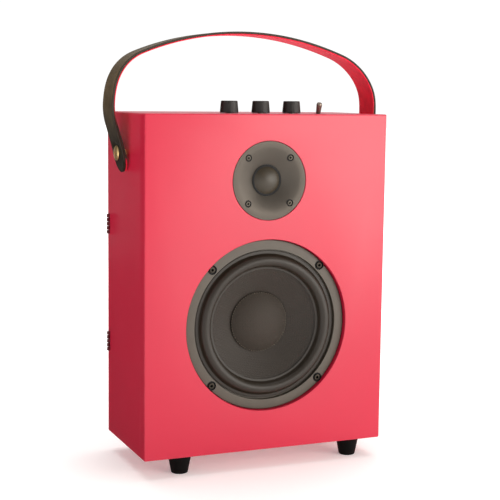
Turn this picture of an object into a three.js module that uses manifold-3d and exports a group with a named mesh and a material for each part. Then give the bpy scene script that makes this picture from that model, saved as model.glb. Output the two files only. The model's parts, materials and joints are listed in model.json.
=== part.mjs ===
// A small battery guitar amplifier: a painted wooden box with a woofer and a dome tweeter on the
// front board, three knobs and a toggle switch on the top, a leather carrying strap that swings on
// two shoulder screws, four turned feet and a hinged back door.
//
// Millimetres, +Z up. The front faces -Y. Inside the group the measures run from the cabinet:
// x from its middle, y from its front face towards the back, z from its underside.

import * as THREE from "three";
import { mergeVertices } from "three/addons/utils/BufferGeometryUtils.js";
import Module from "manifold-3d";

const wasm = await Module();
wasm.setup();

// ---------------------------------------------------------------- driving dimensions

const GAP = 0.3; // running or fitting clearance between two pieces

// cabinet
const WIDTH = 245;
const HEIGHT = 320;
const DEPTH = 118;
const BAFFLE = 15; // front board
const WALL = 12; // sides, top and bottom
const DOOR = 6; // back door

// woofer, measured by radius from its axis and by depth behind the front face
const WOOFER_Z = 120.4;
const WOOFER_RECESS = 4.5; // ring face behind the front face
const WOOFER_FLANGE = 4;
const WOOFER_RADIUS = 81.5;
const WOOFER_RING = 9.1; // width of the bare ring round the surround
const WOOFER_BOLT_INSET = 3.7; // screws in from the ring's edge
const BASKET_DEPTH = 42.5; // from the ring face to the back of the basket
const BASKET_BACK_RADIUS = 52;
const BASKET_WALL = 2.8;
const BASKET_WINDOWS = 6;
const WINDOW_WIDTH = 42;
const SURROUND_STEP = 1.8; // depth of the seat that the surround is glued on
const ROLL_SEAT = 5.4; // width of the surround's flange on the basket
const ROLL_WIDTH = 11;
const ROLL_HEIGHT = 4.8;
const RUBBER = 0.8;
const CONE_SLOPE_DEPTH = 22.5;
const PAPER = 1.2;
const CAP_RADIUS = 28.1;
const CAP_HEIGHT = 8.5;
const COIL_RADIUS = 16;
const COIL_LENGTH = 28;
const WINDING = 0.6;
const SPIDER_RADIUS = 45;
const SPIDER_THICK = 0.8;
const SPIDER_SHELF = 5; // shelf above the basket floor
const TOP_PLATE_RADIUS = 45;
const TOP_PLATE = 5;
const MAGNET_RADIUS = 42;
const MAGNET = 14;
const BACK_PLATE_RADIUS = 43;
const BACK_PLATE = 5;
const POLE_VENT = 4;

// tweeter
const TWEETER_DROP = 62.1; // axis below the top
const TWEETER_RECESS = 0.4;
const TWEETER_RADIUS = 36.8;
const TWEETER_FLANGE = 4;
const TWEETER_BODY_RADIUS = 25.8;
const TWEETER_BODY_DEPTH = 9;
const TWEETER_BOLT_CIRCLE = 30.1;
const FLARE_RADIUS = 28.5;
const THROAT_RADIUS = 15;
const THROAT_DEPTH = 7.4;
const DOME_RADIUS = 13.9;
const DOME_HEIGHT = 5.2;
const DOME_TRAVEL = 0.5;
const TWEETER_MAGNET = 23;

// controls on the top
const POT_BEHIND_BAFFLE = 1; // air between the pots and the front board
const CONTROL_PITCH = 32;
const KNOB_RADIUS = 8.8;
const KNOB_TOP_RADIUS = 7.8;
const KNOB_HEIGHT = 11.3;
const KNOB_SEAT = 0.5; // air under each knob
const KNOB_BORE_DEPTH = 8.5;
const POT_RADIUS = 8;
const POT_HEIGHT = 8;
const POT_SHAFT = 2.7;
const POT_BUSHING = 3.6;
const TOGGLE_X = 59.8;
const TOGGLE_BUSHING = 4.2;
const TOGGLE_NUT = 5.8;
const TOGGLE_SINK = 2.6; // depth of the round recess that the nut sits in
const TOGGLE_PIVOT = 4; // pivot below the top face
const TOGGLE_BALL = 3;
const TOGGLE_BODY = 10; // height of the switch body under the top board
const TOGGLE_LENGTH = 15.3; // pivot to the tip
const TOGGLE_STEM = 2;
const TOGGLE_TIP = 2.7;
const TOGGLE_LEAN = THREE.MathUtils.degToRad(15);
const BOARD = 1.6; // circuit board

// strap and its screws
const PIVOT_Y = DEPTH / 2;
const PIVOT_DROP = 38; // pivot below the top
const STRAP_WIDTH = 31;
const STRAP_OUTER = 2.1;
const STRAP_LINING = 1.5;
const STRAP_APEX = 114.9; // above the pivot
const STRAP_TAIL = 18; // below the pivot
const STRAP_STANDOFF = 14.8; // widest part outside the sides
const CROWN_RADIUS = 280;
const SHOULDER_RADIUS = 44;
const SHOULDER_ANGLE = THREE.MathUtils.degToRad(82.7);
const CHEEK_RADIUS = 80.7;
const SCREW_HEAD = 7;
const SCREW_HEAD_THICK = 2.4;
const SCREW_BED = 1.3; // how deep the head beds into the leather
const SCREW_SHOULDER = 3.4;
const SCREW_SHANK = 2.5;
const NUT_RADIUS = 5.2;
const NUT_THICK = 4;

// feet
const FOOT_HEIGHT = 18.8;
const FOOT_TOP_RADIUS = 11.4;
const FOOT_RADIUS = 7.9;
const FOOT_CHAMFER = 1.5;
const FOOT_STUD = 2.6;
const FOOT_STUD_LENGTH = 8;
const FOOT_LEFT_INSET = 40.7; // centre from the left side
const FOOT_RIGHT_INSET = 26.5; // centre from the right side
const FOOT_BEHIND_BAFFLE = 3; // centre of the front feet behind the front board
const FOOT_BACK_INSET = 18; // centre of the rear feet from the back of the carcass

// hinges of the back door
const HINGE_Z = [93, 210];
const HINGE_LENGTH = 20;
const HINGE_KNUCKLES = 5;
const HINGE_RADIUS = 1.3;
const HINGE_PIN = 0.5;
const HINGE_LEAF = 1;
const HINGE_LEAF_WIDTH = 10.5;

// catch, boards, battery and sockets inside
const CATCH = [10, 11.5, 40];
const CATCH_Z = 150;
const CATCH_PLATE = 0.8;
const AMP_BOARD = [60, 90];
const AMP_Y = 32;
const AMP_Z = 150;
const STANDOFF_RADIUS = 2.6;
const AMP_STANDOFF = 8;
const BATTERY = [120, 34, 38];
const BATTERY_BACK_GAP = 5.7; // free space behind the battery
const CROSSOVER = [70, 30];
const CROSSOVER_SIDE_GAP = 0.5; // board to the left side
const CROSSOVER_STANDOFF = 4;
const SOCKET_Y = 80;
const INPUT_JACK = { z: 88, barrel: 5.5, bore: 3.3, flange: 8.5, length: 22 };
const POWER_SOCKET = { z: 60, barrel: 4.9, bore: 3.1, flange: 7.2, length: 16 };
const SOCKET_FLANGE = 1.6;

// smoothness of round pieces
const FINE = 40;
const ROUND = 24;
const SMALL = 12;

// ---------------------------------------------------------------- looks

function finish(color, roughness, metalness = 0) {
  return new THREE.MeshStandardMaterial({ color, roughness, metalness });
}

const LOOK = {
  paint: finish("#cf2a45", 0.42),
  paper: finish("#47423c", 0.8),
  rubber: finish("#2a2623", 0.6),
  frame: finish("#6f6a60", 0.55),
  plate: finish("#777166", 0.5),
  dome: finish("#3a3633", 0.4),
  plastic: finish("#3c3632", 0.5),
  leather: finish("#4a4032", 0.7),
  lining: finish("#b71a30", 0.85),
  brass: finish("#d9b070", 0.3, 1),
  steel: finish("#9a9a98", 0.35, 1),
  black: finish("#1b1816", 0.6),
  ferrite: finish("#2c2c2e", 0.7),
  copper: finish("#b4653a", 0.4, 1),
  board: finish("#1f5a38", 0.6),
  battery: finish("#2b4f86", 0.5),
};

// ---------------------------------------------------------------- solids

// A closed three.js geometry as a solid, with its faces pointing out.
function toSolid(geometry) {
  const bare = geometry.clone();
  bare.deleteAttribute("normal");
  bare.deleteAttribute("uv");
  const merged = mergeVertices(bare, 1e-4);
  const points = merged.attributes.position;
  const corners = merged.index.array;
  const kept = [];
  const [a, b, c] = [new THREE.Vector3(), new THREE.Vector3(), new THREE.Vector3()];
  let volume = 0;
  for (let i = 0; i < corners.length; i += 3) {
    const [p, q, r] = [corners[i], corners[i + 1], corners[i + 2]];
    if (p === q || q === r || r === p) continue;
    kept.push(p, q, r);
    a.fromBufferAttribute(points, p);
    b.fromBufferAttribute(points, q);
    c.fromBufferAttribute(points, r);
    volume += a.dot(b.cross(c));
  }
  if (volume < 0) kept.reverse();
  return new wasm.Manifold(new wasm.Mesh({
    numProp: 3,
    vertProperties: Float32Array.from(points.array),
    triVerts: Uint32Array.from(kept),
  }));
}

function toGeometry(solid) {
  const mesh = solid.getMesh();
  const geometry = new THREE.BufferGeometry();
  geometry.setAttribute("position", new THREE.BufferAttribute(Float32Array.from(mesh.vertProperties), 3));
  geometry.setIndex(new THREE.BufferAttribute(Uint32Array.from(mesh.triVerts), 1));
  geometry.computeVertexNormals();
  return geometry;
}

// A block between two corners.
function block(x0, x1, y0, y1, z0, z1) {
  const box = new THREE.BoxGeometry(x1 - x0, y1 - y0, z1 - z0);
  box.translate((x0 + x1) / 2, (y0 + y1) / 2, (z0 + z1) / 2);
  return toSolid(box);
}

const TURN_FROM_Y = {
  x: (geometry) => geometry.rotateZ(-Math.PI / 2),
  y: (geometry) => geometry,
  z: (geometry) => geometry.rotateX(Math.PI / 2),
};

// The point of an axis that lies at two coordinates across it.
function onAxis(axis, u, v) {
  return { x: [0, u, v], y: [u, 0, v], z: [u, v, 0] }[axis];
}

// A round rod from start to end along an axis, through the point (u, v) across it.
function rod(axis, radius, start, end, u = 0, v = 0, sides = SMALL) {
  const cylinder = new THREE.CylinderGeometry(radius, radius, end - start, sides);
  cylinder.translate(0, (start + end) / 2, 0);
  return toSolid(TURN_FROM_Y[axis](cylinder).translate(...onAxis(axis, u, v)));
}

// A turned piece: the profile's points are [radius, distance along the axis].
function turned(axis, profile, u = 0, v = 0, sides = ROUND) {
  const points = profile.map(([radius, along]) => new THREE.Vector2(radius, along));
  const lathe = new THREE.LatheGeometry(points, sides);
  return toSolid(TURN_FROM_Y[axis](lathe).translate(...onAxis(axis, u, v)));
}

// A turned piece with a hole right through: its profile closes on itself.
function turnedRing(axis, profile, u = 0, v = 0, sides = ROUND) {
  return turned(axis, [...profile, profile[0]], u, v, sides);
}

function joined(solids) {
  return solids.reduce((sum, solid) => sum.add(solid));
}

function cut(solid, tools) {
  return tools.reduce((rest, tool) => rest.subtract(tool), solid);
}

// Four places on a bolt circle, on the diagonals, as [x, z] from the centre.
function diagonals(radius) {
  const side = radius * Math.SQRT1_2;
  return [[-side, side], [side, side], [-side, -side], [side, -side]];
}

const amplifier = new THREE.Group();
amplifier.position.set(0, -DEPTH / 2, FOOT_HEIGHT);

function addMesh(name, geometry, look, place = [0, 0, 0]) {
  const mesh = new THREE.Mesh(geometry, look);
  mesh.name = name;
  mesh.position.set(...place);
  amplifier.add(mesh);
}

function addSolid(name, solid, look, place) {
  addMesh(name, toGeometry(solid), look, place);
}

// ---------------------------------------------------------------- places that pieces share

const CARCASS_BACK = DEPTH - DOOR - GAP;
const INNER_X = WIDTH / 2 - WALL;
const TWEETER_Z = HEIGHT - TWEETER_DROP;
const PIVOT_Z = HEIGHT - PIVOT_DROP;
const CONTROL_Y = BAFFLE + POT_BEHIND_BAFFLE + POT_RADIUS;
const BATTERY_Y = CARCASS_BACK - BATTERY_BACK_GAP - BATTERY[1];
const CROSSOVER_X = CROSSOVER_SIDE_GAP + CROSSOVER[0] / 2 - INNER_X;
const FOOT_LEFT_X = FOOT_LEFT_INSET - WIDTH / 2;
const FOOT_RIGHT_X = WIDTH / 2 - FOOT_RIGHT_INSET;
const WOOFER_RING_INNER = WOOFER_RADIUS - WOOFER_RING;
const WOOFER_BOLT_CIRCLE = WOOFER_RADIUS - WOOFER_BOLT_INSET;
const ROLL_OUTER = WOOFER_RING_INNER - ROLL_SEAT;
const ROLL_INNER = ROLL_OUTER - ROLL_WIDTH;
const WOOFER_SEAT = WOOFER_RECESS + WOOFER_FLANGE;
const WOOFER_HOLE = WOOFER_RADIUS - 7.5;
const BASKET_BACK = WOOFER_RECESS + BASKET_DEPTH;
const TWEETER_SEAT = TWEETER_RECESS + TWEETER_FLANGE;
const WOOFER_SCREW = { head: 3.6, thick: 2, ring: 4.6, shank: 1.7, hex: 1.6, length: 6.5 };
const TWEETER_SCREW = { head: 2.9, thick: 1.4, ring: 3.4, shank: 1.4, hex: 1.2, length: 7 };
const KNOB_XS = { knob_left: -CONTROL_PITCH, knob_middle: 0, knob_right: CONTROL_PITCH };
const TOP_UNDERSIDE = HEIGHT - WALL;
const HINGE_AXIS = [-(WIDTH / 2 + GAP + HINGE_RADIUS), CARCASS_BACK + GAP / 2];

// ---------------------------------------------------------------- cabinet

function screwHoles(circle, centreZ, screw, from, to) {
  return diagonals(circle).map(([x, z]) =>
    rod("y", screw.shank + GAP, from, to, x, centreZ + z));
}

function frontBaffle() {
  const over = 1;
  const wooferEnd = WOOFER_SEAT - SURROUND_STEP + WOOFER_SCREW.length + 1;
  const tweeterEnd = TWEETER_SEAT + TWEETER_SCREW.length;
  return cut(block(-WIDTH / 2, WIDTH / 2, 0, BAFFLE, 0, HEIGHT), [
    rod("y", WOOFER_RADIUS + 0.7, -over, WOOFER_SEAT, 0, WOOFER_Z, FINE),
    rod("y", WOOFER_HOLE, -over, BAFFLE + over, 0, WOOFER_Z, FINE),
    rod("y", TWEETER_RADIUS + 0.5, -over, TWEETER_SEAT, 0, TWEETER_Z, FINE),
    rod("y", TWEETER_BODY_RADIUS + 0.6, -over, BAFFLE + over, 0, TWEETER_Z, ROUND),
    ...screwHoles(WOOFER_BOLT_CIRCLE, WOOFER_Z, WOOFER_SCREW, 0, wooferEnd),
    ...screwHoles(TWEETER_BOLT_CIRCLE, TWEETER_Z, TWEETER_SCREW, 0, tweeterEnd),
  ]);
}

// A side board: side is -1 on the left and 1 on the right.
function sideBoard(side) {
  const [x0, x1] = side < 0 ? [-WIDTH / 2, -INNER_X] : [INNER_X, WIDTH / 2];
  const screwHole = rod("x", SCREW_SHANK + GAP, x0 - 1, x1 + 1, PIVOT_Y, PIVOT_Z);
  const board = cut(block(x0, x1, BAFFLE, CARCASS_BACK, WALL, TOP_UNDERSIDE), [screwHole]);
  if (side < 0) {
    return cut(board, HINGE_Z.map((z) => block(
      x0 - 1, x0 + HINGE_LEAF_WIDTH, CARCASS_BACK - HINGE_LEAF, CARCASS_BACK + 1,
      z - HINGE_LENGTH / 2, z + HINGE_LENGTH / 2)));
  }
  return cut(board, [INPUT_JACK, POWER_SOCKET].map((socket) =>
    rod("x", socket.barrel + GAP, x0 - 1, x1 + 1, SOCKET_Y, socket.z)));
}

function topBoard() {
  const holes = Object.values(KNOB_XS).map((x) =>
    rod("z", POT_BUSHING + GAP, TOP_UNDERSIDE - 1, HEIGHT + 1, x, CONTROL_Y));
  const toggleHoles = [
    rod("z", TOGGLE_BUSHING + GAP, TOP_UNDERSIDE - 1, HEIGHT + 1, TOGGLE_X, CONTROL_Y, 16),
    rod("z", TOGGLE_NUT + 2 * GAP, HEIGHT - TOGGLE_SINK, HEIGHT + 1, TOGGLE_X, CONTROL_Y, ROUND),
  ];
  return cut(block(-WIDTH / 2, WIDTH / 2, BAFFLE, CARCASS_BACK, TOP_UNDERSIDE, HEIGHT),
    [...holes, ...toggleHoles]);
}

const FOOT_PLACES = {
  foot_front_left: [FOOT_LEFT_X, BAFFLE + FOOT_BEHIND_BAFFLE],
  foot_front_right: [FOOT_RIGHT_X, BAFFLE + FOOT_BEHIND_BAFFLE],
  foot_rear_left: [FOOT_LEFT_X, CARCASS_BACK - FOOT_BACK_INSET],
  foot_rear_right: [FOOT_RIGHT_X, CARCASS_BACK - FOOT_BACK_INSET],
};

function bottomBoard() {
  const studHoles = Object.values(FOOT_PLACES).map(([x, y]) =>
    rod("z", FOOT_STUD + GAP, -1, FOOT_STUD_LENGTH + GAP, x, y));
  return cut(block(-WIDTH / 2, WIDTH / 2, BAFFLE, CARCASS_BACK, 0, WALL), studHoles);
}

function addCabinet() {
  addSolid("front_baffle", frontBaffle(), LOOK.paint);
  addSolid("left_side_panel", sideBoard(-1), LOOK.paint);
  addSolid("right_side_panel", sideBoard(1), LOOK.paint);
  addSolid("top_panel", topBoard(), LOOK.paint);
  addSolid("bottom_panel", bottomBoard(), LOOK.paint);
}

function addFeet() {
  const foot = turned("z", [
    [0, FOOT_STUD_LENGTH],
    [FOOT_STUD, FOOT_STUD_LENGTH],
    [FOOT_STUD, 0],
    [FOOT_TOP_RADIUS, 0],
    [FOOT_RADIUS, FOOT_CHAMFER - FOOT_HEIGHT],
    [FOOT_RADIUS - FOOT_CHAMFER, -FOOT_HEIGHT],
    [0, -FOOT_HEIGHT],
  ], 0, 0, 20);
  const shared = toGeometry(foot);
  for (const [name, [x, y]] of Object.entries(FOOT_PLACES)) addMesh(name, shared, LOOK.black, [x, y, 0]);
}

// ---------------------------------------------------------------- back door, hinges and catch

function addDoor() {
  const pockets = HINGE_Z.map((z) => block(
    -WIDTH / 2 - 1, -WIDTH / 2 + HINGE_LEAF_WIDTH, DEPTH - DOOR - 1, DEPTH - DOOR + HINGE_LEAF,
    z - HINGE_LENGTH / 2, z + HINGE_LENGTH / 2));
  const door = cut(block(-WIDTH / 2, WIDTH / 2, DEPTH - DOOR, DEPTH, 0, HEIGHT), pockets);
  addSolid("rear_door", door, LOOK.paint);
}

// One leaf with its own knuckles: the first leaf has the odd knuckles and the pin.
function hingeLeaf(first) {
  const [axisX, axisY] = HINGE_AXIS;
  const pitch = HINGE_LENGTH / HINGE_KNUCKLES;
  const [y0, y1] = first
    ? [CARCASS_BACK - HINGE_LEAF, CARCASS_BACK]
    : [DEPTH - DOOR, DEPTH - DOOR + HINGE_LEAF];
  const leafEdge = axisX + HINGE_RADIUS + GAP;
  const innerEdge = -WIDTH / 2 + HINGE_LEAF_WIDTH;
  const pieces = [block(leafEdge, innerEdge, y0, y1, -HINGE_LENGTH / 2, HINGE_LENGTH / 2)];
  for (let i = first ? 0 : 1; i < HINGE_KNUCKLES; i += 2) {
    const z0 = -HINGE_LENGTH / 2 + i * pitch + (i > 0 ? GAP / 2 : 0);
    const z1 = -HINGE_LENGTH / 2 + (i + 1) * pitch - (i < HINGE_KNUCKLES - 1 ? GAP / 2 : 0);
    pieces.push(block(axisX, leafEdge, y0, y1, z0, z1));
    pieces.push(rod("z", HINGE_RADIUS, z0, z1, axisX, axisY, 10));
  }
  if (first) {
    pieces.push(rod("z", HINGE_PIN, -HINGE_LENGTH / 2, HINGE_LENGTH / 2, axisX, axisY, 8));
    return joined(pieces);
  }
  return cut(joined(pieces), [
    rod("z", HINGE_PIN + GAP, -HINGE_LENGTH, HINGE_LENGTH, axisX, axisY, 8),
  ]);
}

function addHinges() {
  const frameLeaf = toGeometry(hingeLeaf(true));
  const doorLeaf = toGeometry(hingeLeaf(false));
  ["lower", "upper"].forEach((level, i) => {
    addMesh(`hinge_${level}_frame_leaf`, frameLeaf, LOOK.black, [0, 0, HINGE_Z[i]]);
    addMesh(`hinge_${level}_door_leaf`, doorLeaf, LOOK.black, [0, 0, HINGE_Z[i]]);
  });
}

function addCatch() {
  const [wide, deep, tall] = CATCH;
  const [x0, x1] = [INNER_X - wide, INNER_X];
  const [z0, z1] = [CATCH_Z, CATCH_Z + tall];
  const plateFront = DEPTH - DOOR - CATCH_PLATE;
  const magnet = block(x0, x1, plateFront - GAP - deep, plateFront - GAP, z0, z1);
  addSolid("catch_magnet", magnet, LOOK.black);
  addSolid("catch_plate", block(x0, x1, plateFront, DEPTH - DOOR, z0, z1), LOOK.steel);
}

// ---------------------------------------------------------------- screws of both speakers

// A socket head screw whose head sits on the depth given, with its shank behind it.
function socketScrew(screw, sides) {
  const body = turned("y", [
    [0, -screw.thick],
    [screw.head - 0.3, -screw.thick],
    [screw.head, 0.3 - screw.thick],
    [screw.head, 0],
    [screw.shank, 0],
    [screw.shank, screw.length],
    [0, screw.length],
  ], 0, 0, sides);
  return cut(body, [rod("y", screw.hex, -screw.thick - 1, -0.7, 0, 0, 6)]);
}

function addScrews(prefix, screw, circle, centreZ, seat) {
  const shared = toGeometry(socketScrew(screw, SMALL));
  diagonals(circle).forEach(([x, z], i) => {
    addMesh(`${prefix}_screw_${i + 1}`, shared, LOOK.black, [x, seat, centreZ + z]);
  });
}

// ---------------------------------------------------------------- woofer

// The depth of the cone's front face at a radius.
const CONE_EDGE = ROLL_INNER - 0.4;
const CONE_EDGE_DEPTH = WOOFER_RECESS + SURROUND_STEP + 0.1;
const CONE_NECK = COIL_RADIUS + GAP;
const coneDepth = (radius) =>
  CONE_EDGE_DEPTH + (CONE_SLOPE_DEPTH * (CONE_EDGE - radius)) / (CONE_EDGE - CONE_NECK);

function basket() {
  const face = WOOFER_RECESS;
  const step = face + SURROUND_STEP;
  const floor = BASKET_BACK - BASKET_WALL;
  const shelf = floor - SPIDER_SHELF;
  const wallRadius = WOOFER_HOLE - GAP;
  const wallInner = wallRadius - BASKET_WALL;
  const backInner = BASKET_BACK_RADIUS - BASKET_WALL;
  const shelfOuter = wallInner + ((backInner - wallInner) * (shelf - BAFFLE)) / (floor - BAFFLE);
  const shell = turnedRing("y", [
    [WOOFER_RING_INNER, face],
    [WOOFER_RADIUS, face],
    [WOOFER_RADIUS, WOOFER_SEAT],
    [wallRadius, WOOFER_SEAT],
    [wallRadius, BAFFLE],
    [BASKET_BACK_RADIUS, floor],
    [BASKET_BACK_RADIUS, BASKET_BACK],
    [COIL_RADIUS + 8, BASKET_BACK],
    [COIL_RADIUS + 8, floor],
    [SPIDER_RADIUS - 6, floor],
    [SPIDER_RADIUS - 6, shelf],
    [shelfOuter, shelf],
    [wallInner, BAFFLE],
    [wallInner, step + 2],
    [ROLL_OUTER - 0.5, step + 2],
    [ROLL_OUTER - 0.5, step],
    [WOOFER_RING_INNER, step],
  ], 0, 0, FINE);
  const windows = [];
  for (let i = 0; i < BASKET_WINDOWS; i += 1) {
    const opening = new THREE.BoxGeometry(WOOFER_RADIUS, shelf - BAFFLE - 5, WINDOW_WIDTH);
    opening.translate(SPIDER_RADIUS + WOOFER_RADIUS / 2, (shelf + BAFFLE) / 2, 0);
    opening.rotateY((Math.PI * 2 * i) / BASKET_WINDOWS);
    windows.push(toSolid(opening));
  }
  const seat = WOOFER_SEAT - WOOFER_SCREW.thick - 0.4;
  const notches = diagonals(WOOFER_BOLT_CIRCLE).flatMap(([x, z]) => [
    rod("y", WOOFER_SCREW.ring, face - 1, seat, x, z, 16),
    rod("y", WOOFER_SCREW.shank + 2 * GAP, face - 1, WOOFER_SEAT + 1, x, z),
  ]);
  return cut(shell, [...windows, ...notches]);
}

// A half roll of rubber with a flat flange on each side.
function surround() {
  const seat = WOOFER_RECESS + SURROUND_STEP;
  const middle = (ROLL_OUTER + ROLL_INNER) / 2;
  const half = (ROLL_OUTER - ROLL_INNER) / 2;
  const front = [];
  const back = [];
  const steps = 5;
  for (let i = 0; i <= steps; i += 1) {
    const angle = (Math.PI * i) / steps;
    const rise = Math.sin(angle);
    front.push([middle + half * Math.cos(angle), seat - RUBBER - ROLL_HEIGHT * rise]);
    back.push([middle + (half - RUBBER * rise) * Math.cos(angle), seat - ROLL_HEIGHT * rise]);
  }
  return turnedRing("y", [
    [WOOFER_RING_INNER - GAP, seat - RUBBER],
    ...front,
    [ROLL_INNER - 2.5, seat - RUBBER],
    [ROLL_INNER - 2.5, seat - GAP / 3],
    ...back.reverse(),
    [WOOFER_RING_INNER - GAP, seat],
  ], 0, 0, FINE);
}

function cone() {
  const neckDepth = coneDepth(CONE_NECK);
  return turnedRing("y", [
    [CONE_EDGE, CONE_EDGE_DEPTH + GAP],
    [CONE_EDGE, CONE_EDGE_DEPTH + GAP + PAPER],
    [CONE_NECK + PAPER, neckDepth + PAPER],
    [CONE_NECK + PAPER, neckDepth + 4],
    [CONE_NECK, neckDepth + 4],
    [CONE_NECK, neckDepth],
  ], 0, 0, FINE);
}

// A thin spherical cap whose rim stands at a depth, bulging to the front.
function shellCap(rim, height, thick, depth, sides) {
  const steps = 5;
  const radius = (rim * rim + height * height) / (2 * height);
  const reach = Math.asin(rim / radius);
  const outer = [];
  const inner = [];
  for (let i = 0; i <= steps; i += 1) {
    const angle = (reach * i) / steps;
    const drop = radius * (1 - Math.cos(angle));
    outer.push([radius * Math.sin(angle), depth - height + drop]);
    const share = (radius - thick) / radius;
    inner.push([radius * share * Math.sin(angle), depth - height + thick + drop * share]);
  }
  outer[0][0] = 0;
  inner[0][0] = 0;
  return turned("y", [...outer, ...inner.reverse()], 0, 0, sides);
}

function spider(depth) {
  const waves = 3;
  const inner = COIL_RADIUS + GAP;
  const flat = SPIDER_RADIUS - 6;
  const front = [[inner, depth]];
  for (let i = 1; i < 2 * waves; i += 1) {
    front.push([inner + ((flat - inner) * i) / (2 * waves), depth - (i % 2 ? 1.2 : 0)]);
  }
  front.push([SPIDER_RADIUS, depth]);
  const back = front.map(([radius, along]) => [radius, along + SPIDER_THICK]).reverse();
  return turnedRing("y", [...front, ...back], 0, 0, ROUND);
}

function addWoofer() {
  const at = [0, 0, WOOFER_Z];
  const floor = BASKET_BACK - BASKET_WALL;
  const coilStart = coneDepth(CONE_NECK) + 1;
  const coilEnd = coilStart + COIL_LENGTH;
  const magnetFront = BASKET_BACK + TOP_PLATE;
  const magnetBack = magnetFront + MAGNET;
  const coilGap = COIL_RADIUS + WINDING + 2 * GAP;
  addSolid("woofer_basket", basket(), LOOK.frame, at);
  addSolid("woofer_surround", surround(), LOOK.rubber, at);
  addSolid("woofer_cone", cone(), LOOK.paper, at);
  const capRim = coneDepth(CAP_RADIUS) - 2 * GAP;
  addSolid("woofer_dust_cap", shellCap(CAP_RADIUS, CAP_HEIGHT, RUBBER, capRim, ROUND), LOOK.paper, at);
  addSolid("woofer_spider", spider(floor - SPIDER_SHELF - GAP - SPIDER_THICK), LOOK.copper, at);
  addSolid("woofer_voice_coil", turnedRing("y", [
    [COIL_RADIUS - WINDING, coilStart],
    [COIL_RADIUS, coilStart],
    [COIL_RADIUS, coilEnd - 9],
    [COIL_RADIUS + WINDING, coilEnd - 9],
    [COIL_RADIUS + WINDING, coilEnd],
    [COIL_RADIUS - WINDING, coilEnd],
  ]), LOOK.copper, at);
  addSolid("woofer_top_plate", turnedRing("y", [
    [coilGap, BASKET_BACK],
    [TOP_PLATE_RADIUS, BASKET_BACK],
    [TOP_PLATE_RADIUS, magnetFront],
    [coilGap, magnetFront],
  ]), LOOK.steel, at);
  addSolid("woofer_magnet", turnedRing("y", [
    [coilGap + 5, magnetFront],
    [MAGNET_RADIUS, magnetFront],
    [MAGNET_RADIUS, magnetBack],
    [coilGap + 5, magnetBack],
  ]), LOOK.ferrite, at);
  const poleRadius = COIL_RADIUS - WINDING - 2 * GAP;
  addSolid("woofer_pole", turnedRing("y", [
    [POLE_VENT, BASKET_BACK],
    [poleRadius, BASKET_BACK],
    [poleRadius, magnetBack],
    [BACK_PLATE_RADIUS, magnetBack],
    [BACK_PLATE_RADIUS, magnetBack + BACK_PLATE],
    [POLE_VENT, magnetBack + BACK_PLATE],
  ]), LOOK.steel, at);
  const seat = WOOFER_SEAT - WOOFER_SCREW.thick - 0.4;
  addScrews("woofer", WOOFER_SCREW, WOOFER_BOLT_CIRCLE, WOOFER_Z, seat);
}

// ---------------------------------------------------------------- tweeter

function faceplate() {
  const face = TWEETER_RECESS;
  const flare = [];
  const steps = 5;
  for (let i = 0; i <= steps; i += 1) {
    const angle = (Math.PI / 2) * (i / steps);
    flare.push([
      FLARE_RADIUS - (FLARE_RADIUS - THROAT_RADIUS) * Math.sin(angle),
      face + (THROAT_DEPTH - face) * (1 - Math.cos(angle)),
    ]);
  }
  const plate = turnedRing("y", [
    [TWEETER_RADIUS, face],
    ...flare,
    [THROAT_RADIUS, TWEETER_BODY_DEPTH],
    [TWEETER_BODY_RADIUS, TWEETER_BODY_DEPTH],
    [TWEETER_BODY_RADIUS, TWEETER_SEAT],
    [TWEETER_RADIUS, TWEETER_SEAT],
  ], 0, 0, FINE);
  const holes = diagonals(TWEETER_BOLT_CIRCLE).flatMap(([x, z]) => [
    rod("y", TWEETER_SCREW.ring, face - 1, face + TWEETER_SCREW.thick + 0.2, x, z),
    rod("y", TWEETER_SCREW.shank + GAP, face - 1, TWEETER_SEAT + 1, x, z),
  ]);
  return cut(plate, holes);
}

// The dome with its flat rim and the short former behind it.
function dome() {
  const rimDepth = TWEETER_BODY_DEPTH - 2 * DOME_TRAVEL - RUBBER;
  const former = DOME_RADIUS - 1.4;
  const cap = shellCap(DOME_RADIUS, DOME_HEIGHT, RUBBER, rimDepth, ROUND);
  const rim = turnedRing("y", [
    [former - RUBBER, rimDepth - 0.4],
    [THROAT_RADIUS - GAP, rimDepth - 0.4],
    [THROAT_RADIUS - GAP, rimDepth + RUBBER / 2],
    [former, rimDepth + RUBBER / 2],
    [former, rimDepth + 6],
    [former - RUBBER, rimDepth + 6],
  ]);
  return cap.add(rim);
}

function addTweeter() {
  const at = [0, 0, TWEETER_Z];
  const back = TWEETER_BODY_DEPTH + TWEETER_MAGNET;
  const groove = TWEETER_BODY_DEPTH + 8;
  const core = DOME_RADIUS - 1.4 - RUBBER - 2 * GAP;
  addSolid("tweeter_faceplate", faceplate(), LOOK.plate, at);
  addSolid("tweeter_dome", dome(), LOOK.dome, at);
  addSolid("tweeter_magnet", turned("y", [
    [0, TWEETER_BODY_DEPTH + 1],
    [core, TWEETER_BODY_DEPTH + 1],
    [core, groove],
    [THROAT_RADIUS - GAP, groove],
    [THROAT_RADIUS - GAP, TWEETER_BODY_DEPTH],
    [TWEETER_BODY_RADIUS, TWEETER_BODY_DEPTH],
    [TWEETER_BODY_RADIUS, back],
    [0, back],
  ]), LOOK.ferrite, at);
  const seat = TWEETER_RECESS + TWEETER_SCREW.thick + 0.2;
  addScrews("tweeter", TWEETER_SCREW, TWEETER_BOLT_CIRCLE, TWEETER_Z, seat);
}

// ---------------------------------------------------------------- knobs, switch and their board

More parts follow.
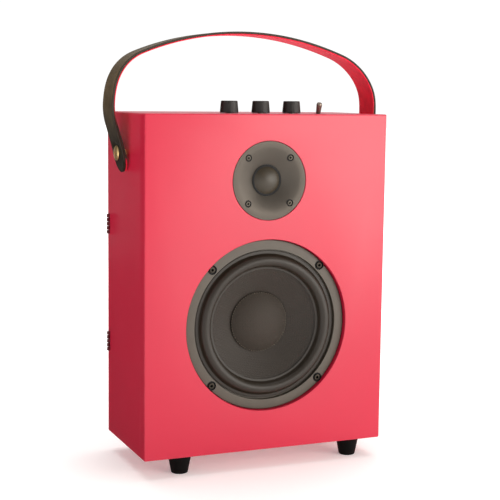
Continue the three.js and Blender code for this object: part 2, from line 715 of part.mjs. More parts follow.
function addKnobs() {
  const bore = POT_SHAFT + GAP;
  const shaftBottom = TOP_UNDERSIDE - 3.5;
  const shaftTop = HEIGHT + KNOB_SEAT + KNOB_BORE_DEPTH - GAP;
  const knob = toGeometry(turned("z", [
    [0, KNOB_HEIGHT],
    [KNOB_TOP_RADIUS - 0.8, KNOB_HEIGHT],
    [KNOB_TOP_RADIUS, KNOB_HEIGHT - 0.8],
    [KNOB_RADIUS, 0.6],
    [KNOB_RADIUS - 0.5, 0],
    [bore, 0],
    [bore, KNOB_BORE_DEPTH],
    [0, KNOB_BORE_DEPTH],
  ], 0, 0, 20));
  const shaft = toGeometry(rod("z", POT_SHAFT, shaftBottom, shaftTop));
  const pot = toGeometry(turned("z", [
    [0, TOP_UNDERSIDE - POT_HEIGHT],
    [POT_RADIUS, TOP_UNDERSIDE - POT_HEIGHT],
    [POT_RADIUS, TOP_UNDERSIDE],
    [POT_BUSHING, TOP_UNDERSIDE],
    [POT_BUSHING, HEIGHT - 0.6],
    [bore, HEIGHT - 0.6],
    [bore, shaftBottom - GAP],
    [0, shaftBottom - GAP],
  ], 0, 0, SMALL));
  for (const [name, x] of Object.entries(KNOB_XS)) {
    addMesh(name, knob, LOOK.plastic, [x, CONTROL_Y, HEIGHT + KNOB_SEAT]);
    addMesh(`${name}_shaft`, shaft, LOOK.steel, [x, CONTROL_Y, 0]);
    addMesh(`${name}_pot`, pot, LOOK.steel, [x, CONTROL_Y, 0]);
  }
}

function addToggle() {
  const pivot = HEIGHT - TOGGLE_PIVOT;
  const bore = TOGGLE_BALL + GAP;
  const rim = HEIGHT - 2 * GAP;
  const body = joined([
    block(-4.5, 4.5, -6.5, 6.5, TOP_UNDERSIDE - TOGGLE_BODY, TOP_UNDERSIDE),
    rod("z", TOGGLE_BUSHING, TOP_UNDERSIDE - 1, rim, 0, 0, 16),
  ]);
  const at = [TOGGLE_X, CONTROL_Y, 0];
  const bored = cut(body, [rod("z", bore, pivot - TOGGLE_BALL - GAP, rim + 1, 0, 0, 16)]);
  addSolid("toggle_body", bored, LOOK.steel, at);
  const nut = cut(rod("z", TOGGLE_NUT, HEIGHT - TOGGLE_SINK, rim - GAP, 0, 0, 6), [
    rod("z", TOGGLE_BUSHING + GAP, HEIGHT - WALL, rim + 1, 0, 0, 16),
  ]);
  addSolid("toggle_nut", nut, LOOK.steel, at);
  const ball = TOGGLE_BALL;
  const lever = turned("z", [
    [0, -ball],
    [ball * 0.7, -ball * 0.7],
    [ball, 0],
    [TOGGLE_STEM, ball * 0.75],
    [TOGGLE_STEM, ball * 1.6],
    [TOGGLE_TIP, TOGGLE_LENGTH - TOGGLE_TIP],
    [TOGGLE_TIP * 0.7, TOGGLE_LENGTH - TOGGLE_TIP * 0.3],
    [0, TOGGLE_LENGTH],
  ], 0, 0, 14);
  const geometry = toGeometry(lever).rotateX(TOGGLE_LEAN);
  addMesh("toggle_lever", geometry, LOOK.steel, [TOGGLE_X, CONTROL_Y, pivot]);
}

function addControlBoard() {
  const top = TOP_UNDERSIDE - TOGGLE_BODY;
  const left = -CONTROL_PITCH - POT_RADIUS - 5;
  const right = TOGGLE_X + 10;
  const back = CONTROL_Y + 22;
  const pieces = [block(left, right, BAFFLE + 1, back, top - BOARD, top)];
  for (const x of Object.values(KNOB_XS)) {
    pieces.push(block(x - 6, x + 6, CONTROL_Y - 4, CONTROL_Y + 4, top - BOARD, TOP_UNDERSIDE - POT_HEIGHT));
  }
  pieces.push(block(left + 4, left + 24, back - 8, back - 2, top - BOARD - 6, top - BOARD));
  addSolid("control_board", joined(pieces), LOOK.board);
}

// ---------------------------------------------------------------- carrying strap

// The strap's half outline as points [x, height above the pivot], from the crown down to the tail,
// a distance inside its outer face. A crown arc, a shoulder arc and a cheek arc run into each other
// without a corner, and a straight tail leans in from the cheek by the lean given.
function strapHalf(inside, lean) {
  const widest = WIDTH / 2 + STRAP_STANDOFF;
  const crownAngle = Math.asin((widest - SHOULDER_RADIUS) / (CROWN_RADIUS - SHOULDER_RADIUS));
  const arcs = [
    [CROWN_RADIUS, crownAngle, 6],
    [SHOULDER_RADIUS, SHOULDER_ANGLE, 9],
    [CHEEK_RADIUS, Math.PI / 2 + lean, 4],
  ];
  const points = [];
  const centre = new THREE.Vector2(0, STRAP_APEX - CROWN_RADIUS);
  const towards = (angle) => new THREE.Vector2(Math.sin(angle), Math.cos(angle));
  let from = 0;
  let last = CROWN_RADIUS;
  for (const [radius, to, steps] of arcs) {
    centre.add(towards(from).multiplyScalar(last - radius));
    for (let i = from > 0 ? 1 : 0; i <= steps; i += 1) {
      const spoke = towards(from + ((to - from) * i) / steps);
      points.push(spoke.multiplyScalar(radius - inside).add(centre));
    }
    from = to;
    last = radius;
  }
  const end = points[points.length - 1];
  const drop = end.y + STRAP_TAIL + 1;
  points.push(new THREE.Vector2(end.x - drop * Math.tan(lean), end.y - drop));
  return points;
}

// How far out a straight tail stands at a height.
function tailX(points, height) {
  const [upper, lower] = points.slice(-2);
  return lower.x + ((upper.x - lower.x) * (height - lower.y)) / (upper.y - lower.y);
}

// The lean that brings the inner face of the tails to the cabinet's sides, found by halving.
const STRAP_THICK = STRAP_OUTER + GAP + STRAP_LINING;
function findStrapLean() {
  let low = 0;
  let high = Math.PI / 6;
  for (let i = 0; i < 40; i += 1) {
    const middle = (low + high) / 2;
    const reach = tailX(strapHalf(STRAP_THICK, middle), -STRAP_TAIL);
    if (reach > WIDTH / 2 + GAP) low = middle;
    else high = middle;
  }
  return low;
}
const STRAP_LEAN = findStrapLean();

// A band of the strap between two depths inside its outer face, with round tails and pivot holes.
function strapBand(from, to) {
  const outer = strapHalf(from, STRAP_LEAN);
  const inner = strapHalf(to, STRAP_LEAN);
  const mirrored = (points) => points.slice(1).map((p) => new THREE.Vector2(-p.x, p.y));
  const outline = [...mirrored(outer).reverse(), ...outer, ...inner.reverse(), ...mirrored(inner.reverse())];
  const band = new THREE.ExtrudeGeometry(new THREE.Shape(outline), {
    depth: STRAP_WIDTH,
    bevelEnabled: false,
  });
  band.translate(0, 0, -STRAP_WIDTH / 2);
  band.rotateX(Math.PI / 2);
  const half = STRAP_WIDTH / 2;
  const side = new THREE.Shape();
  side.moveTo(half, STRAP_APEX + 1);
  side.lineTo(half, half - STRAP_TAIL);
  side.absarc(0, half - STRAP_TAIL, half, 0, -Math.PI, true);
  side.lineTo(-half, STRAP_APEX + 1);
  const reach = WIDTH / 2 + 2 * STRAP_STANDOFF;
  const envelope = new THREE.ExtrudeGeometry(side, {
    depth: 2 * reach,
    bevelEnabled: false,
    curveSegments: 6,
  });
  envelope.translate(0, 0, -reach);
  envelope.rotateY(Math.PI / 2);
  envelope.rotateX(Math.PI / 2);
  const holes = rod("x", SCREW_SHOULDER + GAP, -reach, reach);
  return toSolid(band).intersect(toSolid(envelope)).subtract(holes);
}

function addStrap() {
  const at = [0, PIVOT_Y, PIVOT_Z];
  const bed = tailX(strapHalf(0, STRAP_LEAN), SCREW_HEAD) - SCREW_BED;
  const beds = [
    rod("x", SCREW_HEAD + 0.4, bed, bed + 9, 0, 0, 20),
    rod("x", SCREW_HEAD + 0.4, -bed - 9, -bed, 0, 0, 20),
  ];
  addSolid("handle_strap", cut(strapBand(0, STRAP_OUTER), beds), LOOK.leather, at);
  addSolid("handle_lining", strapBand(STRAP_OUTER + GAP, STRAP_THICK), LOOK.lining, at);

  const headSeat = bed + GAP;
  const headFace = headSeat + SCREW_HEAD_THICK;
  const sideFace = WIDTH / 2;
  const screw = cut(turned("x", [
    [0, INNER_X - NUT_THICK - 2],
    [SCREW_SHANK, INNER_X - NUT_THICK - 2],
    [SCREW_SHANK, sideFace],
    [SCREW_SHOULDER, sideFace],
    [SCREW_SHOULDER, headSeat],
    [SCREW_HEAD, headSeat],
    [SCREW_HEAD, headFace - 0.9],
    [SCREW_HEAD - 0.9, headFace - 0.2],
    [SCREW_SHOULDER, headFace],
    [0, headFace],
  ], 0, 0, 20), [rod("x", 1.5, headFace - 1.2, headFace + 1, 0, 0, 6)]);
  const nut = cut(rod("x", NUT_RADIUS, INNER_X - NUT_THICK, INNER_X, 0, 0, 6), [
    rod("x", SCREW_SHANK + GAP, INNER_X - NUT_THICK - 1, INNER_X + 1),
  ]);
  addSolid("handle_screw_right", screw, LOOK.brass, at);
  addSolid("handle_nut_right", nut, LOOK.steel, at);
  addMesh("handle_screw_left", toGeometry(screw).rotateZ(Math.PI), LOOK.brass, at);
  addMesh("handle_nut_left", toGeometry(nut).rotateZ(Math.PI), LOOK.steel, at);
}

// ---------------------------------------------------------------- boards, battery and sockets

function addAmplifierBoard() {
  const [deep, tall] = AMP_BOARD;
  const x1 = INNER_X - AMP_STANDOFF;
  const x0 = x1 - BOARD;
  const pieces = [
    block(x0, x1, AMP_Y, AMP_Y + deep, AMP_Z - tall / 2, AMP_Z + tall / 2),
    block(x0 - 10, x0, AMP_Y + 26, AMP_Y + 34, AMP_Z - 34, AMP_Z + 34),
  ];
  for (const [y, z] of [[5, -40], [deep - 5, -40], [5, 40], [deep - 5, 40]]) {
    pieces.push(rod("x", STANDOFF_RADIUS, x1 - 0.5, INNER_X, AMP_Y + y, AMP_Z + z, 8));
  }
  for (const z of [-22, 0, 22]) {
    pieces.push(rod("x", 5, x0 - 12, x0 + 0.5, AMP_Y + 13, AMP_Z + z, 10));
  }
  addSolid("amplifier_board", joined(pieces), LOOK.board);
}

function addBattery() {
  const [wide, deep, tall] = BATTERY;
  const pack = block(-wide / 2, wide / 2, BATTERY_Y, BATTERY_Y + deep, WALL, WALL + tall);
  addSolid("battery_pack", pack, LOOK.battery);
}

function addCrossover() {
  const [wide, deep] = CROSSOVER;
  const z0 = WALL + CROSSOVER_STANDOFF;
  const y0 = BAFFLE + 6;
  const pieces = [
    block(CROSSOVER_X - wide / 2, CROSSOVER_X + wide / 2, y0, y0 + deep, z0, z0 + BOARD),
    rod("z", 9, z0 + BOARD - 0.5, z0 + BOARD + 9, CROSSOVER_X - 20, y0 + deep / 2, 14),
    rod("z", 5, z0 + BOARD - 0.5, z0 + BOARD + 12, CROSSOVER_X + 8, y0 + deep / 2, 10),
  ];
  for (const [x, y] of [[-31, 4], [31, 4], [-31, deep - 4], [31, deep - 4]]) {
    pieces.push(rod("z", STANDOFF_RADIUS, WALL, z0 + 0.5, CROSSOVER_X + x, y0 + y, 8));
  }
  addSolid("crossover_board", joined(pieces), LOOK.board);
}

function socketSolid(socket) {
  const face = WIDTH / 2 + SOCKET_FLANGE;
  const body = joined([
    rod("x", socket.barrel, INNER_X - 2, face, SOCKET_Y, socket.z, 16),
    rod("x", socket.flange, WIDTH / 2, face, SOCKET_Y, socket.z, 16),
    rod("x", socket.barrel + 1.5, INNER_X - socket.length, INNER_X - GAP, SOCKET_Y, socket.z, 16),
  ]);
  return cut(body, [rod("x", socket.bore, face - socket.length, face + 1, SOCKET_Y, socket.z, 16)]);
}

function addSockets() {
  addSolid("input_jack", socketSolid(INPUT_JACK), LOOK.black);
  addSolid("power_socket", socketSolid(POWER_SOCKET), LOOK.black);
}

// ---------------------------------------------------------------- the whole amplifier

addCabinet();
addFeet();
addDoor();
addHinges();
addCatch();
addWoofer();
addTweeter();
addKnobs();
addToggle();
addControlBoard();
addStrap();
addAmplifierBoard();
addBattery();
addCrossover();
addSockets();

export default amplifier;
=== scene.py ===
"""Looks of a small battery guitar amplifier: a lacquered wooden box with a woofer and a dome tweeter,
three knobs and a toggle switch on its top, and a leather strap that swings on two brass screws.

Shapes are worked out in millimetres and scaled to metres when a piece is made. Speaker parts are
turned about the front-to-back axis, and their profiles are [radius, depth behind the front face].
"""

import json
import math

import bmesh
import bpy
from bpy.props import FloatProperty, FloatVectorProperty, IntProperty, PointerProperty
from mathutils import Matrix, Vector


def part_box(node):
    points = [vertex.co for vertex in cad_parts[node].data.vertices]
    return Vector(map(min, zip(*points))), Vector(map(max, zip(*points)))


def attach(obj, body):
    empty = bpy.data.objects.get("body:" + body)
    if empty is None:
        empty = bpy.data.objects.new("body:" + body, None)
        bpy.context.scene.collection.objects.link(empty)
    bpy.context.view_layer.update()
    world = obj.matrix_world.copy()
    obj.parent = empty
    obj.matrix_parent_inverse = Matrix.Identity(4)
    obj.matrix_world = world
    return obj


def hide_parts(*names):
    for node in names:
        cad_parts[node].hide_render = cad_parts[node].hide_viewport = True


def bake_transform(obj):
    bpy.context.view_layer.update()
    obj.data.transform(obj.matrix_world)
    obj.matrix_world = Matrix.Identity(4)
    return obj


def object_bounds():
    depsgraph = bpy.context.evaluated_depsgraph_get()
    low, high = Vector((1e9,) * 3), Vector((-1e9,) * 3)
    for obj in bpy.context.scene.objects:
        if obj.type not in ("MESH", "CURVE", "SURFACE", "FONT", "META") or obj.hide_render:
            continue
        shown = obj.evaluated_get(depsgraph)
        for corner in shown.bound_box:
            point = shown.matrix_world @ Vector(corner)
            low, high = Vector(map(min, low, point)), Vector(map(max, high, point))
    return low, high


bl_info = {
    "name": "Portable Guitar Amplifier",
    "version": (1, 0, 0),
    "blender": (4, 5, 0),
    "location": "View3D > Sidebar > Amplifier",
    "description": "Builds the visible pieces of a small guitar amplifier around its design model",
    "category": "Object",
}

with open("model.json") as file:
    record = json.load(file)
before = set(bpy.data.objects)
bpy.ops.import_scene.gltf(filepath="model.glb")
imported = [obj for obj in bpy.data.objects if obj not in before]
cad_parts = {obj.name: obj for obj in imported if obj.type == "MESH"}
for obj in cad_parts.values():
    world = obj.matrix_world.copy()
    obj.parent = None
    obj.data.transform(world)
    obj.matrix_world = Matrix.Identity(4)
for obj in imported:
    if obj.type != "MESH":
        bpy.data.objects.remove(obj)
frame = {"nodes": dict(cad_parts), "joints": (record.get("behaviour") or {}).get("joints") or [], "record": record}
CAD_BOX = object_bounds()
BODIES = frame["record"]["behaviour"]["bodies"]
BODY_OF = {node: body for body, nodes in BODIES.items() for node in nodes}
MM = 0.001


# ---------------------------------------------------------------- sizes and colours to change

def linear(code):
    """An sRGB hex colour as the linear red, green and blue that a shader takes."""
    shares = [int(code[i:i + 2], 16) / 255 for i in (1, 3, 5)]
    return tuple(s / 12.92 if s <= 0.04045 else ((s + 0.055) / 1.055) ** 2.4 for s in shares)


def colour(name, description, code):
    return FloatVectorProperty(
        name=name, description=description, default=linear(code), subtype="COLOR", min=0, max=1)


def length(name, description, size):
    return FloatProperty(name=name, description=description, default=size * MM, unit="LENGTH", min=0)


def power(name, place, watts):
    return FloatProperty(name=name, description=f"Power of the {place} soft box", default=watts, unit="POWER")


class CabinetLook(bpy.types.PropertyGroup):
    paint: colour("Lacquer", "Colour of the sprayed lacquer", "#bd1535")
    edge: length("Edge radius", "Rounding of the cabinet's outer edges", 1.3)
    peel: length("Orange peel", "Spacing of the faint ripples in the lacquer", 2.2)
    foot: colour("Feet", "Colour of the turned feet", "#070504")


class SpeakerLook(bpy.types.PropertyGroup):
    frame: colour("Basket", "Powder coat on the woofer's ring", "#4b443a")
    plate: colour("Tweeter plate", "Anodised aluminium of the tweeter's plate", "#4a443d")
    cone: colour("Cone cloth", "Woven cone and dust cap", "#231a10")
    rubber: colour("Surround", "Rubber roll round the cone", "#221a10")
    thread: length("Thread", "Spacing of the threads in the cone cloth", 1.5)
    segments: IntProperty(name="Segments", description="Sides of a large turned piece", default=160, min=48)


class ControlLook(bpy.types.PropertyGroup):
    plastic: colour("Knobs", "Moulded knobs", "#140e09")
    ribs: IntProperty(name="Ribs", description="Grip ribs round a knob", default=40, min=12)
    rib_depth: length("Rib depth", "Depth of the valleys between the grip ribs", 0.12)


class StrapLook(bpy.types.PropertyGroup):
    leather: colour("Leather", "Grain side of the strap", "#574730")
    lining: colour("Lining", "Red lining on the inside", "#df1a38")
    brass: colour("Brass", "Strap screws", "#ffd496")
    crown: length("Crown radius", "Curve over the top of the strap", 280)
    shoulder: length("Shoulder radius", "Tight curve at each shoulder", 53)
    cheek: length("Cheek radius", "Curve that brings the strap back to the sides", 80.7)
    hang: length("Hang", "How far the arch hangs over to the left", 3)
    slump: length("Slump", "How much further its crown goes over", 5.2)
    thick: length("Leather thickness", "Outer leather without its lining", 2.1)


class StageLook(bpy.types.PropertyGroup):
    floor: colour("Floor", "Pale floor", "#f4f2f0")
    key: power("Key light", "large", 29.5)
    side: power("Side light", "right", 9.5)
    fill: power("Fill light", "left", 4)
    top: power("Top light", "overhead", 46)
    lens: FloatProperty(name="Lens", description="Focal length in millimetres", default=90.24, unit="CAMERA")


GROUPS = {
    "cabinet_look": CabinetLook,
    "speaker_look": SpeakerLook,
    "control_look": ControlLook,
    "strap_look": StrapLook,
    "stage_look": StageLook,
}


def look_of(group):
    return getattr(bpy.context.scene, group)


# ---------------------------------------------------------------- shaders

def add(tree, kind, settings=None, links=None):
    """Adds a node. A setting is the value of an input socket, the stops of a ramp, or a property."""
    made = tree.nodes.new("ShaderNode" + kind)
    for name, value in (settings or {}).items():
        if name == "stops":
            ramp = made.color_ramp.elements
            while len(ramp) < len(value):
                ramp.new(1.0)
            for stop, (position, shade) in zip(ramp, value):
                stop.position = position
                stop.color = (*shade, 1.0)
        elif isinstance(name, int) or name in made.inputs:
            made.inputs[name].default_value = value
        else:
            setattr(made, name, value)
    for name, source in (links or {}).items():
        tree.links.new(source, made.inputs[name])
    return made


def start(name, settings):
    """A new material with its shader's plain settings, and the object coordinates in metres."""
    made = bpy.data.materials.new(name)
    made.use_nodes = True
    tree = made.node_tree
    shader = tree.nodes["Principled BSDF"]
    for socket, value in settings.items():
        shader.inputs[socket].default_value = value
    place = add(tree, "TexCoord").outputs["Object"]
    return made, tree, shader, place


def per(size):
    """How many repeats of a pattern of this size in millimetres fit in a metre."""
    return 1 / (size * MM)


def shade(rgb, factor):
    return tuple(min(1.0, value * factor) for value in rgb)


def vary(tree, shader, place, rgb, size, spread):
    """Colour that drifts a little over patches of a size in millimetres."""
    drift = add(tree, "TexNoise", {"Scale": per(size), "Detail": 5.0}, {"Vector": place})
    ramp = add(tree, "ValToRGB", {
        "stops": [(0.3, shade(rgb, 1 - spread)), (0.7, shade(rgb, 1 + spread))],
    }, {"Fac": drift.outputs["Fac"]})
    tree.links.new(ramp.outputs["Color"], shader.inputs["Base Color"])
    return ramp


def roughen(tree, shader, place, size, low, high):
    """Roughness that wanders between two values over patches of a size in millimetres."""
    wander = add(tree, "TexNoise", {"Scale": per(size), "Detail": 4.0}, {"Vector": place})
    span = add(tree, "MapRange", {"To Min": low, "To Max": high}, {"Value": wander.outputs["Fac"]})
    tree.links.new(span.outputs["Result"], shader.inputs["Roughness"])


def sprayed_lacquer(look):
    """Satin polyurethane lacquer sprayed on filled MDF: an even colour under a soft broad gloss, with
    a faint orange peel that only the light on it shows."""
    made, tree, shader, place = start("lacquer_sprayed_on_mdf", {"IOR": 1.5, "Coat Roughness": 0.5})
    vary(tree, shader, place, look.paint, 90, 0.03)
    roughen(tree, shader, place, 60, 0.31, 0.38)
    peel = add(tree, "TexNoise", {"Scale": per(look.peel / MM), "Detail": 2.0}, {"Vector": place})
    bump = add(tree, "Bump", {"Strength": 0.5, "Distance": 0.02 * MM}, {"Height": peel.outputs["Fac"]})
    tree.links.new(bump.outputs["Normal"], shader.inputs["Normal"])
    return made


def powder_coat(look):
    """Fine-textured powder coat on pressed steel: warm grey, dull, with a gritty skin. The grit is drawn
    at 0.9 mm, three times the real one, so that it shows."""
    made, tree, shader, place = start("powder_coated_steel", {"IOR": 1.5, "Roughness": 0.52})
    vary(tree, shader, place, look.frame, 14, 0.06)
    grit = add(tree, "TexNoise", {"Scale": per(0.9), "Detail": 3.0}, {"Vector": place})
    bump = add(tree, "Bump", {"Strength": 0.6, "Distance": 0.06 * MM}, {"Height": grit.outputs["Fac"]})
    tree.links.new(bump.outputs["Normal"], shader.inputs["Normal"])
    return made


def anodised_plate(look):
    """Matte anodised aluminium, bead blasted: a greyish satin that shades softly over the flare."""
    made, tree, shader, place = start("anodised_aluminium_blasted", {
        "Metallic": 0.5, "Specular IOR Level": 0.35,
    })
    vary(tree, shader, place, look.plate, 20, 0.05)
    roughen(tree, shader, place, 12, 0.4, 0.47)
    blast = add(tree, "TexNoise", {"Scale": per(0.8), "Detail": 2.0}, {"Vector": place})
    bump = add(tree, "Bump", {"Strength": 0.4, "Distance": 0.03 * MM}, {"Height": blast.outputs["Fac"]})
    tree.links.new(bump.outputs["Normal"], shader.inputs["Normal"])
    return made


def moulded_rubber(look):
    """Butyl rubber, compression moulded: dark, with a soft sheen on the roll and a dusty bloom."""
    made, tree, shader, place = start("butyl_rubber_moulded", {"IOR": 1.5, "Specular IOR Level": 0.42})
    vary(tree, shader, place, look.rubber, 9, 0.08)
    roughen(tree, shader, place, 15, 0.42, 0.52)
    bloom = add(tree, "TexNoise", {"Scale": per(1.4), "Detail": 3.0}, {"Vector": place})
    bump = add(tree, "Bump", {"Strength": 0.35, "Distance": 0.04 * MM}, {"Height": bloom.outputs["Fac"]})
    tree.links.new(bump.outputs["Normal"], shader.inputs["Normal"])
    return made


def woven_cloth(name, rgb, thread, doping):
    """Plain-weave glass and paper cloth, resin doped: rows of small domed threads, over and under, with a dull
    gloss on their crowns, and a colour that is darker where the threads dip and lighter on their crowns, painted
    shade in the hollows of the weave. The weave is as coarse as it needs to be to show."""
    made, tree, shader, place = start(name, {"IOR": 1.48, "Roughness": doping, "Sheen Weight": 0.06})
    split = add(tree, "SeparateXYZ", links={"Vector": place})
    squares = add(tree, "TexChecker", {"Scale": per(thread)}, {"Vector": place})
    crowns = []
    for axis in ("X", "Z"):
        turn = add(tree, "Math", {"operation": "MULTIPLY", 1: math.pi * per(thread)}, {
            0: split.outputs[axis],
        })
        wave = add(tree, "Math", {"operation": "SINE"}, {0: turn.outputs[0]})
        crowns.append(add(tree, "Math", {"operation": "ABSOLUTE"}, {0: wave.outputs[0]}).outputs[0])
    over = add(tree, "MapRange", links={
        "Value": squares.outputs["Fac"], "To Min": crowns[0], "To Max": crowns[1],
    })
    height = over.outputs["Result"]
    # Painted shade: the colour follows the threads' height, darker in the hollows of the weave and lighter on the
    # crowns.
    ramp = add(tree, "ValToRGB", {
        "stops": [(0.0, shade(rgb, 0.55)), (0.9, shade(rgb, 1.3))],
    }, {"Fac": height})
    tree.links.new(ramp.outputs["Color"], shader.inputs["Base Color"])
    bump = add(tree, "Bump", {"Strength": 0.8, "Distance": 0.22 * MM}, {"Height": height})
    tree.links.new(bump.outputs["Normal"], shader.inputs["Normal"])
    return made


def doped_silk():
    """Silk dome, coated with damping lacquer: almost smooth, with a broad satin highlight."""
    made, tree, shader, place = start("silk_doped", {"IOR": 1.52})
    vary(tree, shader, place, linear("#2d2414"), 4, 0.1)
    roughen(tree, shader, place, 3, 0.42, 0.52)
    weave = add(tree, "TexVoronoi", {"Scale": per(0.5)}, {"Vector": place})
    bump = add(tree, "Bump", {"Strength": 0.4, "Distance": 0.02 * MM}, {"Height": weave.outputs["Distance"]})
    tree.links.new(bump.outputs["Normal"], shader.inputs["Normal"])
    return made


def moulded_plastic(name, rgb, low, high, grain, shine=0.38):
    """The skin of a moulded plastic or rubber, or of a thin coat of lacquer: even, fine-grained and softly
    shiny, as an eroded mould leaves it. A lower shine makes it matte."""
    made, tree, shader, place = start(name, {"IOR": 1.5, "Specular IOR Level": shine})
    vary(tree, shader, place, rgb, 6, 0.06)
    roughen(tree, shader, place, 4, low, high)
    skin = add(tree, "TexVoronoi", {"Scale": per(grain)}, {"Vector": place})
    bump = add(tree, "Bump", {"Strength": 0.5, "Distance": 0.03 * MM}, {"Height": skin.outputs["Distance"]})
    tree.links.new(bump.outputs["Normal"], shader.inputs["Normal"])
    return made


def worked_metal(name, rgb, low, high, ring=None, tarnish=0.08):
    """Plated, blackened or turned metal, with faint tool rings where it was turned on a lathe and a tone
    that deepens a little in patches."""
    made, tree, shader, place = start(name, {"Metallic": 1.0, "Anisotropic": 0.3 if ring else 0.0})
    vary(tree, shader, place, rgb, 2.5, tarnish)
    roughen(tree, shader, place, 2, low, high)
    if ring:
        turning = add(tree, "TexWave", {
            "wave_type": "RINGS", "rings_direction": ring, "Scale": per(3.2), "Distortion": 0.4,
        }, {"Vector": place})
        bump = add(tree, "Bump", {"Strength": 0.25, "Distance": 0.02 * MM}, {
            "Height": turning.outputs["Fac"],
        })
        tree.links.new(bump.outputs["Normal"], shader.inputs["Normal"])
    return made


def burnish_and_painted_shade(tree, shader, place, plain, start, full, heights=(-1, 0)):
    """Dark wax along both edges of the strap, between two distances from its middle in millimetres. It fades out
    between two heights in metres, and on the lining this leaves the dark edges only towards the tails, where they
    are painted shade."""
    split = add(tree, "SeparateXYZ", links={"Vector": place})
    across = add(tree, "Math", {"operation": "ABSOLUTE"}, {0: split.outputs["Y"]})
    edge = add(tree, "MapRange", {
        "interpolation_type": "SMOOTHSTEP", "From Min": start * MM, "From Max": full * MM,
    }, {"Value": across.outputs[0]})
    # The fade with height: on the lining it keeps the dark edges only towards the tails, as painted shade there.
    low = add(tree, "MapRange", {
        "From Min": heights[0], "From Max": heights[1], "To Min": 1.0, "To Max": 0.0,
    }, {"Value": split.outputs["Z"]})
    amount = add(tree, "Math", {"operation": "MULTIPLY"}, {
        0: edge.outputs["Result"], 1: low.outputs["Result"],
    })
    mixed = add(tree, "Mix", {"data_type": "RGBA", 7: (*linear("#32291f"), 1.0)}, {
        0: amount.outputs[0], 6: plain,
    })
    tree.links.new(mixed.outputs[2], shader.inputs["Base Color"])


def strap_hide(look, half_width, sides_top):
    """Vegetable-tanned cowhide with a waxed grain: olive brown and clouded, pebbled and creased, with painted
    shade that darkens it from the cabinet's top down to the screws, and with dark burnished edges."""
    made, tree, shader, place = start("cowhide_waxed_painted_shade", {"IOR": 1.42, "Specular IOR Level": 0.35})
    clouds = add(tree, "TexNoise", {"Scale": per(22), "Detail": 6.0, "Roughness": 0.65}, {"Vector": place})
    tone = add(tree, "ValToRGB", {
        "stops": [(0.32, shade(look.leather, 0.72)), (0.5, look.leather), (0.68, shade(look.leather, 1.35))],
    }, {"Fac": clouds.outputs["Fac"]})
    height = add(tree, "SeparateXYZ", links={"Vector": place}).outputs["Z"]
    # Painted shade: the leather's colour is darkened from the cabinet's top down to the screws.
    painted_shade_below_top = add(tree, "MapRange", {
        "From Min": sides_top - 28 * MM, "From Max": sides_top + 18 * MM, "To Min": 0.2, "To Max": 1.0,
    }, {"Value": height})
    tone = add(tree, "HueSaturation", links={
        "Color": tone.outputs["Color"], "Value": painted_shade_below_top.outputs["Result"],
    })
    burnish_and_painted_shade(tree, shader, place, tone.outputs["Color"], half_width - 1.4, half_width - 0.2, (1, 2))
    roughen(tree, shader, place, 9, 0.48, 0.66)
    pebbles = add(tree, "TexVoronoi", {"feature": "SMOOTH_F1", "Scale": per(1.5)}, {"Vector": place})
    creases = add(tree, "TexNoise", {"Scale": per(5), "Detail": 8.0, "Distortion": 0.8}, {"Vector": place})
    grain = add(tree, "Math", {"operation": "ADD"}, {
        0: pebbles.outputs["Distance"], 1: creases.outputs["Fac"],
    })
    bump = add(tree, "Bump", {"Strength": 0.45, "Distance": 0.25 * MM}, {"Height": grain.outputs[0]})
    tree.links.new(bump.outputs["Normal"], shader.inputs["Normal"])
    return made


def lining_suede(look, half_width, shoulder):
    """Red split leather with a short nap: matte, with a soft sheen at a glance, a slightly uneven dye and dark
    flanks from the shoulders down to the tails, which are the strap's dark edge paint together with painted shade
    where the flanks lie in shadow."""
    made, tree, shader, place = start("split_leather_napped", {
        "IOR": 1.45, "Roughness": 0.82, "Sheen Weight": 0.45, "Sheen Roughness": 0.4,
        "Sheen Tint": (*linear("#e0566a"), 1.0),
    })
    dye = vary(tree, shader, place, look.lining, 8, 0.14)
    # Dark flanks below the shoulders: edge paint together with painted shade towards the tails.
    burnish_and_painted_shade(tree, shader, place, dye.outputs["Color"], half_width - 0.9, half_width - 0.4,
            (shoulder, shoulder + 30 * MM))
    nap = add(tree, "TexNoise", {"Scale": per(0.7), "Detail": 6.0}, {"Vector": place})
    bump = add(tree, "Bump", {"Strength": 0.3, "Distance": 0.08 * MM}, {"Height": nap.outputs["Fac"]})
    tree.links.new(bump.outputs["Normal"], shader.inputs["Normal"])
    return made


def ferrite():
    """Sintered ferrite, ground on its faces: near black, dull, with a fine open grain."""
    made, tree, shader, place = start("ferrite_sintered", {"IOR": 2.0, "Roughness": 0.62})
    vary(tree, shader, place, linear("#2e2e30"), 3, 0.2)
    pores = add(tree, "TexVoronoi", {"Scale": per(0.8)}, {"Vector": place})
    bump = add(tree, "Bump", {"Strength": 0.5, "Distance": 0.08 * MM}, {"Height": pores.outputs["Distance"]})
    tree.links.new(bump.outputs["Normal"], shader.inputs["Normal"])
    return made


def solder_mask():
    """Glass-epoxy board under green solder mask: glossy, with the copper tracks showing as paler lines."""
    made, tree, shader, place = start("glass_epoxy_solder_masked", {"IOR": 1.55, "Roughness": 0.3})
    tracks = add(tree, "TexBrick", {
        "offset": 0.37, "Scale": per(9), "Mortar Size": 0.05, "Mortar Smooth": 0.1, "Bias": -0.3,
        "Color1": (*linear("#1c5a38"), 1.0), "Color2": (*linear("#1a5233"), 1.0),
        "Mortar": (*linear("#3c8a58"), 1.0),
    }, {"Vector": place})
    tree.links.new(tracks.outputs["Color"], shader.inputs["Base Color"])
    bump = add(tree, "Bump", {"Strength": 0.5, "Distance": 0.05 * MM}, {"Height": tracks.outputs["Fac"]})
    tree.links.new(bump.outputs["Normal"], shader.inputs["Normal"])
    return made


